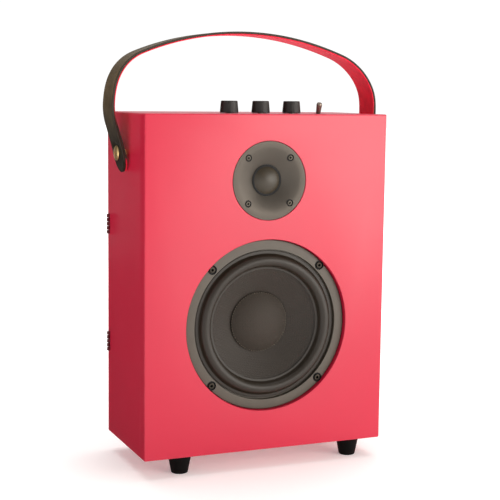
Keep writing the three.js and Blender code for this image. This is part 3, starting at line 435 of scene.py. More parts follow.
def wound_copper():
    """Enamelled copper wire in close turns: amber metal with a fine thread-like ribbing."""
    made, tree, shader, place = start("copper_enamelled_wound", {"Metallic": 1.0, "Roughness": 0.35})
    vary(tree, shader, place, linear("#b8683a"), 5, 0.12)
    turns = add(tree, "TexWave", {"bands_direction": "Y", "Scale": per(6)}, {"Vector": place})
    bump = add(tree, "Bump", {"Strength": 0.8, "Distance": 0.1 * MM}, {"Height": turns.outputs["Fac"]})
    tree.links.new(bump.outputs["Normal"], shader.inputs["Normal"])
    return made


def spider_cloth():
    """Cotton cloth set with phenolic resin: golden brown, matte, with an open weave."""
    return woven_cloth("cotton_resin_set", linear("#a9854a"), 0.9, 0.7)


# ---------------------------------------------------------------- shapes

ACROSS = {
    "z": Matrix.Identity(3),
    "y": Matrix(((1, 0, 0), (0, 0, 1), (0, -1, 0))),
    "x": Matrix(((0, 0, 1), (0, 1, 0), (-1, 0, 0))),
}


def box_of(node):
    """A design node's lowest and highest corners in millimetres."""
    low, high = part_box(node)
    return low / MM, high / MM


def middle_of(node):
    low, high = box_of(node)
    return (low + high) / 2


def rounded(profile, steps=4):
    """A profile whose points may be [radius, along, fillet], with each fillet drawn as an arc."""
    points = []
    last = len(profile) - 1
    for i, point in enumerate(profile):
        corner = Vector(point[:2])
        fillet = point[2] if len(point) > 2 else 0
        if not fillet or i in (0, last):
            points.append(corner)
            continue
        back = Vector(profile[i - 1][:2]) - corner
        ahead = Vector(profile[i + 1][:2]) - corner
        half = back.angle(ahead) / 2
        reach = min(fillet / math.tan(half), back.length * 0.49, ahead.length * 0.49)
        radius = reach * math.tan(half)
        centre = corner + (back.normalized() + ahead.normalized()).normalized() * radius / math.sin(half)
        first = corner + back.normalized() * reach - centre
        turn = first.angle_signed(corner + ahead.normalized() * reach - centre)
        for k in range(steps + 1):
            angle = -turn * k / steps
            cos, sin = math.cos(angle), math.sin(angle)
            points.append(centre + Vector((first.x * cos - first.y * sin, first.x * sin + first.y * cos)))
    return points


def turned(profile, at, axis="y", sides=64, closed=False, ripple=None):
    """A turned solid or, when closed, a turned ring. ripple(radius, along, angle) gives a new radius."""
    form = bmesh.new()
    points = rounded(profile)
    rows = []
    for radius, along in points:
        if radius < 1e-6:
            rows.append([form.verts.new(ACROSS[axis] @ Vector((0, 0, along)) + at)])
            continue
        row = []
        for k in range(sides):
            angle = 2 * math.pi * k / sides
            reach = ripple(radius, along, angle) if ripple else radius
            spoke = Vector((reach * math.cos(angle), reach * math.sin(angle), along))
            row.append(form.verts.new(ACROSS[axis] @ spoke + at))
        rows.append(row)
    for a, b in zip(rows, rows[1:] + rows[:1] if closed else rows[1:]):
        for k in range(sides):
            corners = [a[k % len(a)], a[(k + 1) % len(a)], b[(k + 1) % len(b)], b[k % len(b)]]
            form.faces.new(list(dict.fromkeys(corners)))
    return form


def block(low, high, edges=0.0, choose=None, steps=3):
    """A block between two corners. Its edges are rounded, or only those that choose(a, b) picks."""
    form = bmesh.new()
    bmesh.ops.create_cube(form, size=1)
    low, high = Vector(low), Vector(high)
    for v in form.verts:
        v.co = Vector(low[i] if v.co[i] < 0 else high[i] for i in range(3))
    if edges:
        picked = [e for e in form.edges if choose is None or choose(*(v.co for v in e.verts))]
        bmesh.ops.bevel(form, geom=picked, offset=edges, segments=steps, profile=0.5, affect="EDGES")
    return form


def merged(forms):
    """Several forms as one mesh, each still closed on its own."""
    whole = bmesh.new()
    for form in forms:
        mesh = bpy.data.meshes.new("part")
        form.to_mesh(mesh)
        form.free()
        whole.from_mesh(mesh)
        bpy.data.meshes.remove(mesh)
    return whole


def to_object(name, form):
    bmesh.ops.scale(form, vec=(MM, MM, MM), verts=form.verts)
    bmesh.ops.recalc_face_normals(form, faces=form.faces)
    mesh = bpy.data.meshes.new(name)
    form.to_mesh(mesh)
    form.free()
    made = bpy.data.objects.new(name, mesh)
    bpy.context.scene.collection.objects.link(made)
    return made


def carved(form, cutters):
    """A form with others cut out of it."""
    made = to_object("blank", form)
    tools = [to_object("cutter", cutter) for cutter in cutters]
    for tool in tools:
        cut = made.modifiers.new("cut", "BOOLEAN")
        cut.object = tool
        cut.solver = "EXACT"
    settled = bpy.data.meshes.new_from_object(made.evaluated_get(bpy.context.evaluated_depsgraph_get()))
    result = bmesh.new()
    result.from_mesh(settled)
    bmesh.ops.scale(result, vec=(1 / MM,) * 3, verts=result.verts)
    for used in (made, *tools):
        bpy.data.meshes.remove(used.data)
    bpy.data.meshes.remove(settled)
    return result


def piece(name, form, material, slot, *nodes, crease=32, blend=None):
    """Makes a piece that stands for design nodes, which it hides, and takes the material it is given. It rides on
    their body, unless blend is given.
    """
    made = to_object(name, form)
    made.data.polygons.foreach_set("use_smooth", [True] * len(made.data.polygons))
    made.data.set_sharp_from_angle(angle=math.radians(crease))
    made.data.materials.append(material)
    if blend is None:
        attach(made, BODY_OF[nodes[0]])
    else:
        radial_blend(made, *blend)
    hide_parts(*nodes)
    return made


def dress(material, slot, *nodes):
    """Gives design nodes whose shape is right their finish."""
    for node in nodes:
        carried = frame["nodes"][node]
        carried.data.materials.clear()
        carried.data.materials.append(material)


def trim(name, form, material, body):
    """A small piece that rides on a body and stands for no design node."""
    made = to_object(name, form)
    made.data.materials.append(material)
    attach(made, body)


def ease(value):
    """A share between 0 and 1 that starts and ends gently."""
    share = min(1.0, max(0.0, value))
    return share * share * (3 - 2 * share)


def radial_blend(made, a, b, centre, still, moving):
    """Bakes a ring's placement into its mesh, so that it rides on no body. The bodies a and b, the centre and the
    two radii are not used.
    """
    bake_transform(made)


def dome_line(radius, height, apex, steps):
    """Half of a dome's section as part of a circle, from its apex to its rim."""
    ball = (radius ** 2 + height ** 2) / (2 * height)
    reach = math.asin(radius / ball)
    angles = [reach * k / steps for k in range(steps + 1)]
    return [[ball * math.sin(a), apex + ball * (1 - math.cos(a))] for a in angles]


def skin(form, rings):
    """Covers rings of equally many vertices with faces, and closes both ends."""
    count = len(rings[0])
    for a, b in zip(rings, rings[1:]):
        for k in range(count):
            form.faces.new((a[k], a[(k + 1) % count], b[(k + 1) % count], b[k]))
    form.faces.new(rings[0])
    form.faces.new(rings[-1][::-1])
    return form


def screw_wells(at, circle, face, well, bore, end):
    """A countersunk well for each of the four screws on a speaker's bolt circle."""
    side = circle * math.sqrt(0.5)
    profile = [[0, -1], [well, -1], [well, face + 1.6], [bore, face + 1.6], [bore, end], [0, end]]
    return [turned(profile, at + Vector((x, 0, z)), sides=40) for z in (side, -side) for x in (-side, side)]


# ---------------------------------------------------------------- cabinet

CABINET_LOW = box_of("front_baffle")[0]
CABINET_HIGH = box_of("rear_door")[1]
FRONT = CABINET_LOW.y
THROUGH = 20
HINGES = ("lower", "upper")
LEAF = 1
KNUCKLES = 5
KNUCKLE_RADIUS = 1.3
PIN_RADIUS = 0.55
SPEAKER_X = middle_of("woofer_basket").x
WOOFER_SEAT = 8.5
WOOFER_HOLE = 74
WOOFER_BOLTS = 77.8
TWEETER_SEAT = 4.4
TWEETER_HOLE = 26.4
TWEETER_BOLTS = 30.1


def on_outer_edge(a, b):
    """Whether an edge of a board lies on two of the cabinet's outer faces at once."""
    faces = 0
    for i in range(3):
        for limit in (CABINET_LOW[i], CABINET_HIGH[i]):
            faces += abs(a[i] - limit) < 0.01 and abs(b[i] - limit) < 0.01
    return faces >= 2


def board(node, edge):
    low, high = box_of(node)
    return block(low, high, edge, on_outer_edge, steps=4)


def speaker_hole(node, pocket_gap, hole, seat):
    """The stepped hole of a speaker in the front board, with a softened painted lip."""
    low, high = box_of(node)
    pocket = (high.x - low.x) / 2 + pocket_gap
    back = box_of("front_baffle")[1].y - FRONT + 1
    at = Vector((SPEAKER_X, FRONT, (low.z + high.z) / 2))
    profile = [[0, -1], [pocket + 0.35, -1], [pocket + 0.35, 0], [pocket, 0.35], [pocket, seat],
               [hole, seat], [hole, back], [0, back]]
    return turned(profile, at, sides=look_of("speaker_look").segments)


def round_hole(axis, radius, u, v, start, end, sides=48):
    at = {"x": Vector((0, u, v)), "z": Vector((u, v, 0))}[axis]
    return turned([[0, start], [radius, start], [radius, end], [0, end]], at, axis, sides)


def leaf_pockets(leaf, face):
    """The shallow beds of the hinge leaves in the face of a board."""
    right = box_of(f"hinge_lower_{leaf}_leaf")[1].x
    pockets = []
    for level in HINGES:
        low, high = box_of(f"hinge_{level}_door_leaf")
        pockets.append(block((CABINET_LOW.x - 1, face - LEAF, low.z), (right, face + LEAF, high.z)))
    return pockets


class AMP_OT_cabinet(bpy.types.Operator):
    """Front, sides, top and bottom as boards with rounded outer edges and their holes"""
    bl_idname = "amp.cabinet"
    bl_label = "Cabinet Boards"

    def execute(self, context):
        look = look_of("cabinet_look")
        edge = look.edge / MM
        paint = sprayed_lacquer(look)
        holes = {
            "front_baffle": [
                speaker_hole("woofer_basket", 0.7, WOOFER_HOLE, WOOFER_SEAT),
                speaker_hole("tweeter_faceplate", 0.5, TWEETER_HOLE, TWEETER_SEAT),
            ],
            "left_side_panel": [], "right_side_panel": [], "top_panel": [], "bottom_panel": [],
        }
        side_back = box_of("left_side_panel")[1].y
        holes["left_side_panel"] += leaf_pockets("frame", side_back)
        for socket, radius in (("input_jack", 5.8), ("power_socket", 5.2)):
            at = middle_of(socket)
            holes["right_side_panel"].append(
                round_hole("x", radius, at.y, at.z, CABINET_HIGH.x - THROUGH, CABINET_HIGH.x + 1))
        bores = [(knob, 3.9, THROUGH) for knob in KNOBS]
        bores += [("toggle_nut", 4.5, THROUGH), ("toggle_nut", 6.4, 2.6)]
        for node, radius, depth in bores:
            at = middle_of(node)
            holes["top_panel"].append(
                round_hole("z", radius, at.x, at.y, CABINET_HIGH.z - depth, CABINET_HIGH.z + 1))
        for node, cutters in holes.items():
            form = board(node, edge)
            if cutters:
                form = carved(form, cutters)
            piece(node + "_lacquered", form, paint, "cabinet_paint", node)
        return {"FINISHED"}


class AMP_OT_door(bpy.types.Operator):
    """Hinged back door with its leaf pockets"""
    bl_idname = "amp.door"
    bl_label = "Back Door"

    def execute(self, context):
        look = look_of("cabinet_look")
        form = carved(board("rear_door", look.edge / MM), leaf_pockets("door", box_of("rear_door")[0].y))
        piece("rear_door_lacquered", form, sprayed_lacquer(look), "cabinet_paint", "rear_door")
        return {"FINISHED"}


class AMP_OT_hinges(bpy.types.Operator):
    """Two butt hinges with their knuckles and pins, and the magnetic catch with its strike plate"""
    bl_idname = "amp.hinges"
    bl_label = "Hinges and Catch"

    def execute(self, context):
        maroon = moulded_plastic("steel_lacquered_maroon", linear("#571a21"), 0.45, 0.6, 0.8)
        for level in HINGES:
            bottom, top = (corner.z for corner in box_of(f"hinge_{level}_frame_leaf"))
            pitch = (top - bottom) / KNUCKLES
            inner_y = box_of(f"hinge_{level}_frame_leaf")[1].y
            outer_y = box_of(f"hinge_{level}_door_leaf")[0].y
            for first, leaf in enumerate(("frame", "door")):
                node = f"hinge_{level}_{leaf}_leaf"
                low, high = box_of(node)
                at = Vector((low.x + KNUCKLE_RADIUS, (inner_y + outer_y) / 2, 0))
                y0, y1 = (low.y, low.y + LEAF) if leaf == "frame" else (high.y - LEAF, high.y)
                parts = [block((CABINET_LOW.x, y0, bottom), (high.x, y1, bottom + KNUCKLES * pitch), 0.15)]
                for i in range(first, KNUCKLES, 2):
                    z0, z1 = bottom + i * pitch + 0.25, bottom + (i + 1) * pitch - 0.25
                    bore = PIN_RADIUS if first else 0
                    profile = [[bore, z0], [KNUCKLE_RADIUS, z0, 0.7], [KNUCKLE_RADIUS, z1, 0.7], [bore, z1]]
                    parts.append(turned(profile, at, "z", 24, closed=bool(first)))
                    parts.append(block((at.x + 0.6, y0, z0), (CABINET_LOW.x + 0.2, y1, z1), 0.1))
                piece(f"hinge_{level}_{leaf}", merged(parts), maroon, "hinge_black", node)
        magnet_low, magnet_high = box_of("catch_magnet")
        catch = [block(magnet_low, (magnet_high.x, magnet_high.y - 0.6, magnet_high.z), 0.8)]
        for share in (0.28, 0.72):
            level = magnet_low.z + share * (magnet_high.z - magnet_low.z)
            catch.append(block((magnet_low.x + 2, magnet_high.y - 1, level - 5),
                               (magnet_high.x - 2, magnet_high.y, level + 5), 0.3))
        piece("catch_magnet_housing", merged(catch), maroon, "hinge_black", "catch_magnet")
        steel = worked_metal("steel_zinc_plated", linear("#a9a8a4"), 0.3, 0.42)
        piece("catch_strike_plate", block(*box_of("catch_plate"), 0.3), steel, "motor_steel", "catch_plate")
        return {"FINISHED"}


class AMP_OT_feet(bpy.types.Operator):
    """Four tapered feet with a rounded tread and a screw well under each"""
    bl_idname = "amp.feet"
    bl_label = "Feet"

    def execute(self, context):
        black = moulded_plastic("rubber_turned_hard", look_of("cabinet_look").foot, 0.65, 0.8, 1.1, 0.1)
        for row in ("front", "rear"):
            for side in ("left", "right"):
                node = f"foot_{row}_{side}"
                low, high = box_of(node)
                tall = CABINET_LOW.z - low.z
                wide = (high.x - low.x) / 2
                at = Vector(((low.x + high.x) / 2, (low.y + high.y) / 2, CABINET_LOW.z))
                profile = [[0, 8], [2.6, 8, 0.4], [2.6, 0], [wide, 0, 0.3], [wide - 0.1, -1.2, 0.4],
                           [wide - 3.5, -tall, 1.3], [3.4, -tall, 0.4], [3.0, 3 - tall, 0.2], [0, 3 - tall]]
                piece(f"{node}_turned", turned(profile, at, "z", 56), black, "foot_rubber", node, crease=40)
        return {"FINISHED"}


# ---------------------------------------------------------------- speakers

ROLL_OUTER = 67
ROLL_INNER = 56
ROLL_RISE = 6.1
RUBBER = 0.8
RING_INNER = 72.4
CONE_EDGE = 55.6
CAP_RADIUS = 28.1
COIL = 16


def speaker_axis(node):
    middle = middle_of(node)
    return Vector((SPEAKER_X, FRONT, middle.z))


class AMP_OT_woofer(bpy.types.Operator):
    """Woofer ring and basket, rubber roll, woven cone and dust cap, with the motor behind them"""
    bl_idname = "amp.woofer"
    bl_label = "Woofer"

    def execute(self, context):
        look = look_of("speaker_look")
        sides = look.segments
        at = speaker_axis("woofer_basket")
        low, high = box_of("woofer_basket")
        face = low.y - FRONT
        radius = (high.x - low.x) / 2
        back = high.y - FRONT
        step = face + 3.2
        coat = powder_coat(look)
        self.basket(at, face, step, radius, back, sides, coat)
        self.roll(at, step, sides, moulded_rubber(look))
        thread = look.thread / MM
        cloth = woven_cloth("glass_paper_woven", look.cone, thread, 0.56)
        neck = box_of("woofer_cone")[1].y - FRONT - 4
        edge = step + 0.1
        slope = (neck - edge) / (CONE_EDGE - COIL)
        run = CONE_EDGE - COIL - 0.3
        profile = [[CONE_EDGE, edge + 0.3]]
        for k in range(1, 13):
            share = k / 12
            bow = 1.1 * math.sin(math.pi * share)
            radius = CONE_EDGE - share * run
            profile.append([radius, edge + 0.3 + slope * run * share + bow])
        inner = [[r + 0.4, d + 1.1] for r, d in reversed(profile)]
        collar = [[COIL + 0.3, neck + 4], [COIL + 1.5, neck + 4]]
        cone = turned([*profile, *collar, *inner[1:]], at, sides=sides, closed=True)
        piece("woofer_cone_woven", cone, cloth, "woven_cone", "woofer_cone", crease=50)
        self.cap(at, sides, look, thread)
        self.motor(at, back)
        return {"FINISHED"}

    def basket(self, at, face, step, radius, back, sides, coat):
        seat = WOOFER_SEAT
        ring = [[RING_INNER, face, 0.35], [radius, face, 0.8], [radius, seat, 0.2], [WOOFER_HOLE - 0.3, seat],
                [WOOFER_HOLE - 0.3, 15], [52, back - 2.8], [52, back, 0.6], [24, back], [24, back - 2.8],
                [39, back - 2.8], [39, back - 7.8], [54.2, back - 7.8], [70.9, 15], [70.9, step + 2],
                [66.5, step + 2], [66.5, step], [71.2, step], [71.2, step + 1.4],
                [RING_INNER, step + 1.4]]
        shell = turned([*ring, ring[0][:2]], at, sides=sides, closed=True)
        bmesh.ops.remove_doubles(shell, verts=shell.verts, dist=1e-4)
        cutters = []
        for k in range(6):
            turn = Matrix.Rotation(math.pi * k / 3, 3, "Y")
            opening = block((45, 17.5, -21), (86, back - 10.3, 21), 3)
            for v in opening.verts:
                v.co = turn @ v.co + at
            cutters.append(opening)
        cutters += screw_wells(at, WOOFER_BOLTS, face, 4.6, 2.3, 9)
        piece("woofer_basket_coated", carved(shell, cutters), coat, "speaker_frame", "woofer_basket")

    def roll(self, at, step, sides, rubber):
        middle, half = (ROLL_OUTER + ROLL_INNER) / 2, (ROLL_OUTER - ROLL_INNER) / 2
        front, behind = [], []
        for k in range(17):
            angle = math.pi * k / 16
            rise = math.sin(angle) ** 0.9
            front.append([middle + half * math.cos(angle), step - RUBBER - ROLL_RISE * rise])
            behind.append([middle + (half - RUBBER * rise) * math.cos(angle), step - ROLL_RISE * rise])
        flange = [[RING_INNER - 1.5, step - 0.05], [RING_INNER - 1.5, step - RUBBER, 0.35],
                  [ROLL_OUTER + 1.2, step - RUBBER, 0.5]]
        lip = [[ROLL_INNER - 0.7, step - 0.2, 0.8], [ROLL_INNER - 2.6, step - 0.05],
               [ROLL_INNER - 2.5, step + 0.1]]
        profile = [*flange, *front[1:-1], *lip, *reversed(behind)]
        form = turned(profile, at, sides=sides, closed=True)
        piece("woofer_surround_roll", form, rubber, "surround_rubber", "woofer_surround", crease=60,
              blend=("cabinet", "woofer_diaphragm", at, ROLL_OUTER, ROLL_INNER))

    def cap(self, at, sides, look, thread):
        low, high = box_of("woofer_dust_cap")
        apex, rim = low.y - FRONT, high.y - FRONT
        front = dome_line(CAP_RADIUS, rim - apex - 0.8, apex, 20)
        front.append([CAP_RADIUS + 0.5, front[-1][1] + 0.35])
        inner = [[r * 0.98, d + 0.7] for r, d in reversed(front)]
        cloth = woven_cloth("glass_paper_woven_cap", shade(look.cone, 1.25), thread, 0.68)
        form = turned([*front, *inner], at, sides=sides)
        piece("woofer_dust_cap_woven", form, cloth, "woven_cone", "woofer_dust_cap", crease=50)
        dots, count, ring = [], 72, CAP_RADIUS + 0.4
        for k in range(count):
            angle = 2 * math.pi * k / count
            spot = Vector((ring * math.cos(angle), front[-1][1] - 0.1, ring * math.sin(angle))) + at
            dot = bmesh.new()
            bmesh.ops.create_icosphere(dot, subdivisions=1, radius=0.42, matrix=Matrix.Translation(spot))
            dots.append(dot)
        ends = woven_cloth("glass_thread_cut", linear("#6f675a"), thread, 0.6)
        trim("woofer_dust_cap_thread_ends", merged(dots), ends, "woofer_diaphragm")

    def motor(self, at, back):
        steel = worked_metal("steel_zinc_plated_motor", linear("#a4a39f"), 0.3, 0.45, ring="Y")
        ceramic = ferrite()
        coil_gap, magnet = COIL + 1.2, box_of("woofer_magnet")
        front, rear = magnet[0].y - FRONT, magnet[1].y - FRONT
        plate = [[coil_gap, back], [45, back, 0.6], [45, front, 0.6], [coil_gap, front]]
        piece("woofer_top_plate_turned", turned(plate, at, sides=96, closed=True), steel, "motor_steel",
              "woofer_top_plate")
        ring = [[coil_gap + 5, front], [42, front, 0.8], [42, rear, 0.8], [coil_gap + 5, rear]]
        piece("woofer_magnet_ring", turned(ring, at, sides=96, closed=True), ceramic, "magnet_ferrite",
              "woofer_magnet")
        end = box_of("woofer_pole")[1].y - FRONT
        pole = [[4, back, 0.8], [COIL - 1.2, back, 1], [COIL - 1.2, rear], [43, rear, 0.8], [43, end, 1.2],
                [4, end, 0.8]]
        form = turned(pole, at, sides=96, closed=True)
        piece("woofer_pole_turned", form, steel, "motor_steel", "woofer_pole")
        spider = box_of("woofer_spider")
        flat = spider[1].y - FRONT - 0.8
        front_wave, back_wave = [], []
        for k in range(61):
            radius = COIL + 0.3 + (45 - COIL - 0.3) * k / 60
            ripple = 0.6 - 0.6 * math.cos(2 * math.pi * (radius - COIL) / 4.6) if radius < 39 else 0
            front_wave.append([radius, flat - ripple])
            back_wave.append([radius, flat - ripple + 0.6])
        form = turned([*front_wave, *reversed(back_wave)], at, sides=96, closed=True)
        piece("woofer_spider_corrugated", form, spider_cloth(), "spider_cloth", "woofer_spider", crease=60,
              blend=("cabinet", "woofer_diaphragm", at, 39, COIL + 0.5))
        coil = box_of("woofer_voice_coil")
        first, last = coil[0].y - FRONT, coil[1].y - FRONT
        winding = [[COIL - 0.6, first], [COIL, first], [COIL, last - 9], [COIL + 0.6, last - 9, 0.2],
                   [COIL + 0.6, last, 0.2], [COIL - 0.6, last]]
        form = turned(winding, at, sides=96, closed=True)
        piece("woofer_voice_coil_wound", form, wound_copper(), "coil_wire", "woofer_voice_coil")


class AMP_OT_tweeter(bpy.types.Operator):
    """Tweeter plate with its flared throat, and the silk dome in it"""
    bl_idname = "amp.tweeter"
    bl_label = "Tweeter"

    def execute(self, context):
        look = look_of("speaker_look")
        sides = look.segments
        low, high = box_of("tweeter_faceplate")
        at = speaker_axis("tweeter_faceplate")
        face, radius = low.y - FRONT, (high.x - low.x) / 2
        flare_radius, throat, depth = 33.0, 15.0, 7.4
        flare = []
        for k in range(1, 19):
            share = k / 18
            sunk = face + (depth - face) * share ** 1.6
            flare.append([flare_radius - (flare_radius - throat) * share, sunk])
        rings = []
        for k in range(3):
            start = depth + 0.15 + 0.5 * k
            rings += [[throat + 0.25, start], [throat + 0.25, start + 0.2], [throat, start + 0.25]]
        back = box_of("tweeter_magnet")[0].y - FRONT
        profile = [[radius, face, 0.5], [flare_radius + 1, face, 1], *flare, *rings, [throat, back],
                   [25.8, back], [25.8, TWEETER_SEAT], [radius, TWEETER_SEAT, 0.2]]
        shell = turned([*profile, profile[0][:2]], at, sides=sides, closed=True)
        bmesh.ops.remove_doubles(shell, verts=shell.verts, dist=1e-4)
        wells = screw_wells(at, TWEETER_BOLTS, face, 3.4, 1.7, 5)
        piece("tweeter_plate_anodised", carved(shell, wells), anodised_plate(look), "tweeter_plate",
              "tweeter_faceplate", crease=35)
        self.dome(at, back)
        end = box_of("tweeter_magnet")[1].y - FRONT
        can = [[0, back + 1], [11, back + 1], [11, back + 8], [throat - 0.3, back + 8], [throat - 0.3, back],
               [25.8, back, 0.4], [25.8, end, 1.5], [0, end]]
        piece("tweeter_magnet_ring", turned(can, at, sides=96), ferrite(), "magnet_ferrite", "tweeter_magnet")
        return {"FINISHED"}

    def dome(self, at, back):
        rim = back - 1.8
        height = 4.9
        front = dome_line(12.7, height, rim - height, 18)
        edge = [[13.1, rim + 0.35], [12.5, rim + 0.5], [12.5, rim + 6], [11.7, rim + 6], [11.7, rim + 0.2]]
        inner = [[r * 0.84, d + 0.8] for r, d in reversed(front)]
        form = turned([*front, *edge, *inner], at, sides=96)
        piece("tweeter_dome_silk", form, doped_silk(), "dome_silk", "tweeter_dome", crease=60)
        roll = [[12.75, rim + 0.1, 0.1], [13.5, rim - 0.2, 0.3], [14.7, rim + 0.2, 0.1], [14.7, rim + 0.5],
                [12.75, rim + 0.5]]
        # The dome's roll is coloured near black as painted shade for the gap round the dome.
        painted_gap_shade_black = moulded_plastic("silk_roll_painted_gap_shade", linear("#060504"), 0.6, 0.7, 0.6)
        form = turned(roll, at, sides=96, closed=True)
        trim("tweeter_dome_roll", form, painted_gap_shade_black, "tweeter_diaphragm")


class AMP_OT_socket_screws(bpy.types.Operator):
    """Socket head screws of both speakers, with near-black cup washers under their heads that darken the screw
    wells as painted shade
    """
    bl_idname = "amp.socket_screws"
    bl_label = "Speaker Screws"

    def execute(self, context):
        oxide = worked_metal("steel_black_oxide", linear("#3b3731"), 0.42, 0.52, tarnish=0.15)
        bright = worked_metal("steel_black_oxide_worn", linear("#57524b"), 0.46, 0.56, tarnish=0.12)
        # Near-black washers fill the screw wells: painted shade in the recesses round the heads.
        painted_well_shade_black = moulded_plastic("black_painted_well_shade", linear("#040303"), 0.6, 0.7, 0.5)
        kinds = (
            ("woofer", oxide, 2.9, 2.0, 1.55, 1.7, 6.5, 4.5),
            ("tweeter", bright, 2.25, 1.3, 1.3, 1.4, 7.0, 3.38),
        )
        for speaker, metal, head, thick, hexagon, shank, reach, cup in kinds:
            cups = []
            for k in range(4):
                node = f"{speaker}_screw_{k + 1}"
                middle, high = middle_of(node), box_of(node)[1]
                seat = high.y - reach - FRONT
                at = Vector((middle.x, FRONT, middle.z))
                body = [[0, seat - thick], [head, seat - thick, 0.45], [head, seat], [shank, seat],
                        [shank, seat + reach, 0.3], [0, seat + reach]]
                socket = turned([[0, seat - thick - 1], [hexagon, seat - thick - 1], [hexagon, seat + 1.2],
                                 [0, seat + 1.4]], at, sides=6)
                form = carved(turned(body, at, sides=40), [socket])
                piece(f"{node}_socket_head", form, metal, "screw_black", node)
                lip = seat - thick + 0.2
                rim = [[head + 0.1, seat - 0.02], [head + 0.1, seat - 0.35, 0.1],
                       [cup - 0.5, seat - 0.35, 0.1], [cup - 0.35, lip, 0.1], [cup, lip, 0.1],
                       [cup, seat - 0.02]]
                cups.append(turned(rim, at, sides=40, closed=True))
            trim(f"{speaker}_cup_washers_painted_shade", merged(cups), painted_well_shade_black, "cabinet")
        return {"FINISHED"}


# ---------------------------------------------------------------- controls on the top

KNOBS = ("knob_left", "knob_middle", "knob_right")


class AMP_OT_knobs(bpy.types.Operator):
    """Three tapered knobs with fine grip ribs and a pointer groove, on their shafts and pots"""
    bl_idname = "amp.knobs"
    bl_label = "Knobs"

    def execute(self, context):
        look = look_of("control_look")
        plastic = moulded_plastic("abs_soft_touch", look.plastic, 0.4, 0.52, 0.6)
        steel = worked_metal("steel_nickel_plated", linear("#b5b2ab"), 0.25, 0.38, ring="Z")
        for knob in KNOBS:
            low, high = box_of(knob)
            wide, tall = (high.x - low.x) / 2, high.z - low.z
            at = Vector(((low.x + high.x) / 2, (low.y + high.y) / 2, low.z))
            depth = look.rib_depth / MM

            def ribbed(radius, along, angle):
                on_side = 0.8 < along < tall - 1.2 and radius > wide - 1.6
                return radius - (depth * (0.5 - 0.5 * math.cos(look.ribs * angle)) if on_side else 0)

            side = [[wide - (along - 0.6) / (tall - 0.6), along] for along in (1.4, 3, 5, 7, 9, tall - 1.5)]
            profile = [[0, tall - 0.25], [wide - 3.2, tall - 0.25], [wide - 2.6, tall, 0.2],
                       [wide - 1.0, tall, 0.9], *side[::-1], [wide, 0.6], [wide - 0.5, 0, 0.2],
                       [3, 0], [3, 8.5], [0, 8.5]]
            body = turned(profile, at, "z", look.ribs * 8, ripple=ribbed)
            groove = block((at.x - 0.45, low.y - 1, high.z - 0.6), (at.x + 0.45, at.y - 2.2, high.z + 1))
            piece(f"{knob}_cap", carved(body, [groove]), plastic, "knob_plastic", knob, crease=40)
            dress(steel, "plated_steel", f"{knob}_shaft", f"{knob}_pot")
        return {"FINISHED"}


class AMP_OT_toggle(bpy.types.Operator):
    """Bat-handle toggle switch with its bushing and nut, and the control board below"""
    bl_idname = "amp.toggle"
    bl_label = "Toggle Switch"

    def execute(self, context):
        nickel = worked_metal("brass_black_nickel_plated", linear("#7d7268"), 0.38, 0.48, tarnish=0.15)
        ball = 3.0
        joint = next(j for j in frame["joints"] if j["name"] == "toggle_flip")
        pivot = Vector(joint["pos_m"]) / MM
        under = [[ball * math.sin(a), -ball * math.cos(a)] for a in (0.5, 1.0, 1.57, 2.0)]
        profile = [[0, -ball], *under, [2.3, ball * 0.75], [2.25, ball * 1.5], [2.3, 7], [2.6, 11],
                   [2.75, 13.2, 1.2], [2.1, 15.0, 1.0], [0, 15.3]]
        form = turned(profile, Vector(), "z", 48)
        lean = Matrix.Rotation(math.radians(15), 3, "X")
        for v in form.verts:
            v.co = lean @ v.co + pivot
        piece("toggle_lever_bat", form, nickel, "plated_steel", "toggle_lever", crease=50)
        dress(nickel, "plated_steel", "toggle_body", "toggle_nut")
        dress(solder_mask(), "circuit_board", "control_board")
        return {"FINISHED"}


# ---------------------------------------------------------------- carrying strap

STRAP_LOW, STRAP_HIGH = box_of("handle_strap")
PIVOT = Vector((0, middle_of("handle_screw_left").y, middle_of("handle_screw_left").z))
HALF_WIDTH = (STRAP_HIGH.y - STRAP_LOW.y) / 2
TAIL = PIVOT.z - STRAP_LOW.z
SHOULDER_ANGLE = math.radians(82.7)


def strap_line(look, lean):
    """Half of the strap's outer line, from the crown to the end of a tail, as (point, outward) pairs of
    two-dimensional vectors: x from the middle and height above the pivot."""
    radii = [look.crown / MM, look.shoulder / MM, look.cheek / MM]
    widest = STRAP_HIGH.x - 0.8
    crown_angle = math.asin((widest - radii[1]) / (radii[0] - radii[1]))
    stops = [crown_angle, SHOULDER_ANGLE, math.pi / 2 + lean]
    centre = Vector((0, STRAP_HIGH.z - PIVOT.z - radii[0]))
    line, start_angle, last = [], 0.0, radii[0]
    for radius, stop in zip(radii, stops):
        centre += Vector((math.sin(start_angle), math.cos(start_angle))) * (last - radius)
        steps = math.ceil(radius * (stop - start_angle) / 3.5)
        for k in range(0 if start_angle == 0 else 1, steps + 1):
            angle = start_angle + (stop - start_angle) * k / steps
            outward = Vector((math.sin(angle), math.cos(angle)))
            line.append((centre + outward * radius, outward))
        start_angle, last = stop, radius
    point, outward = line[-1]
    along = Vector((outward.y, -outward.x))
    round_from = HALF_WIDTH - TAIL
    heights = [round_from - HALF_WIDTH * math.sin(math.radians(a)) for a in range(0, 90, 6)]
    steps = math.ceil((point.y - round_from) / 1.5)
    heights = [point.y + (round_from - point.y) * k / steps for k in range(1, steps)] + heights
    for height in heights:
        line.append((point + along * ((height - point.y) / along.y), outward))
    return line


def strap_lean(look, thick):
    """The lean of the tails that brings the inner face to the cabinet's side at their ends."""
    low, high = 0.0, math.pi / 6
    for _ in range(40):
        middle = (low + high) / 2
        point, outward = strap_line(look, middle)[-1]
        if point.x - thick * outward.x > CABINET_HIGH.x + 0.3:
            low = middle
        else:
            high = middle
    return low


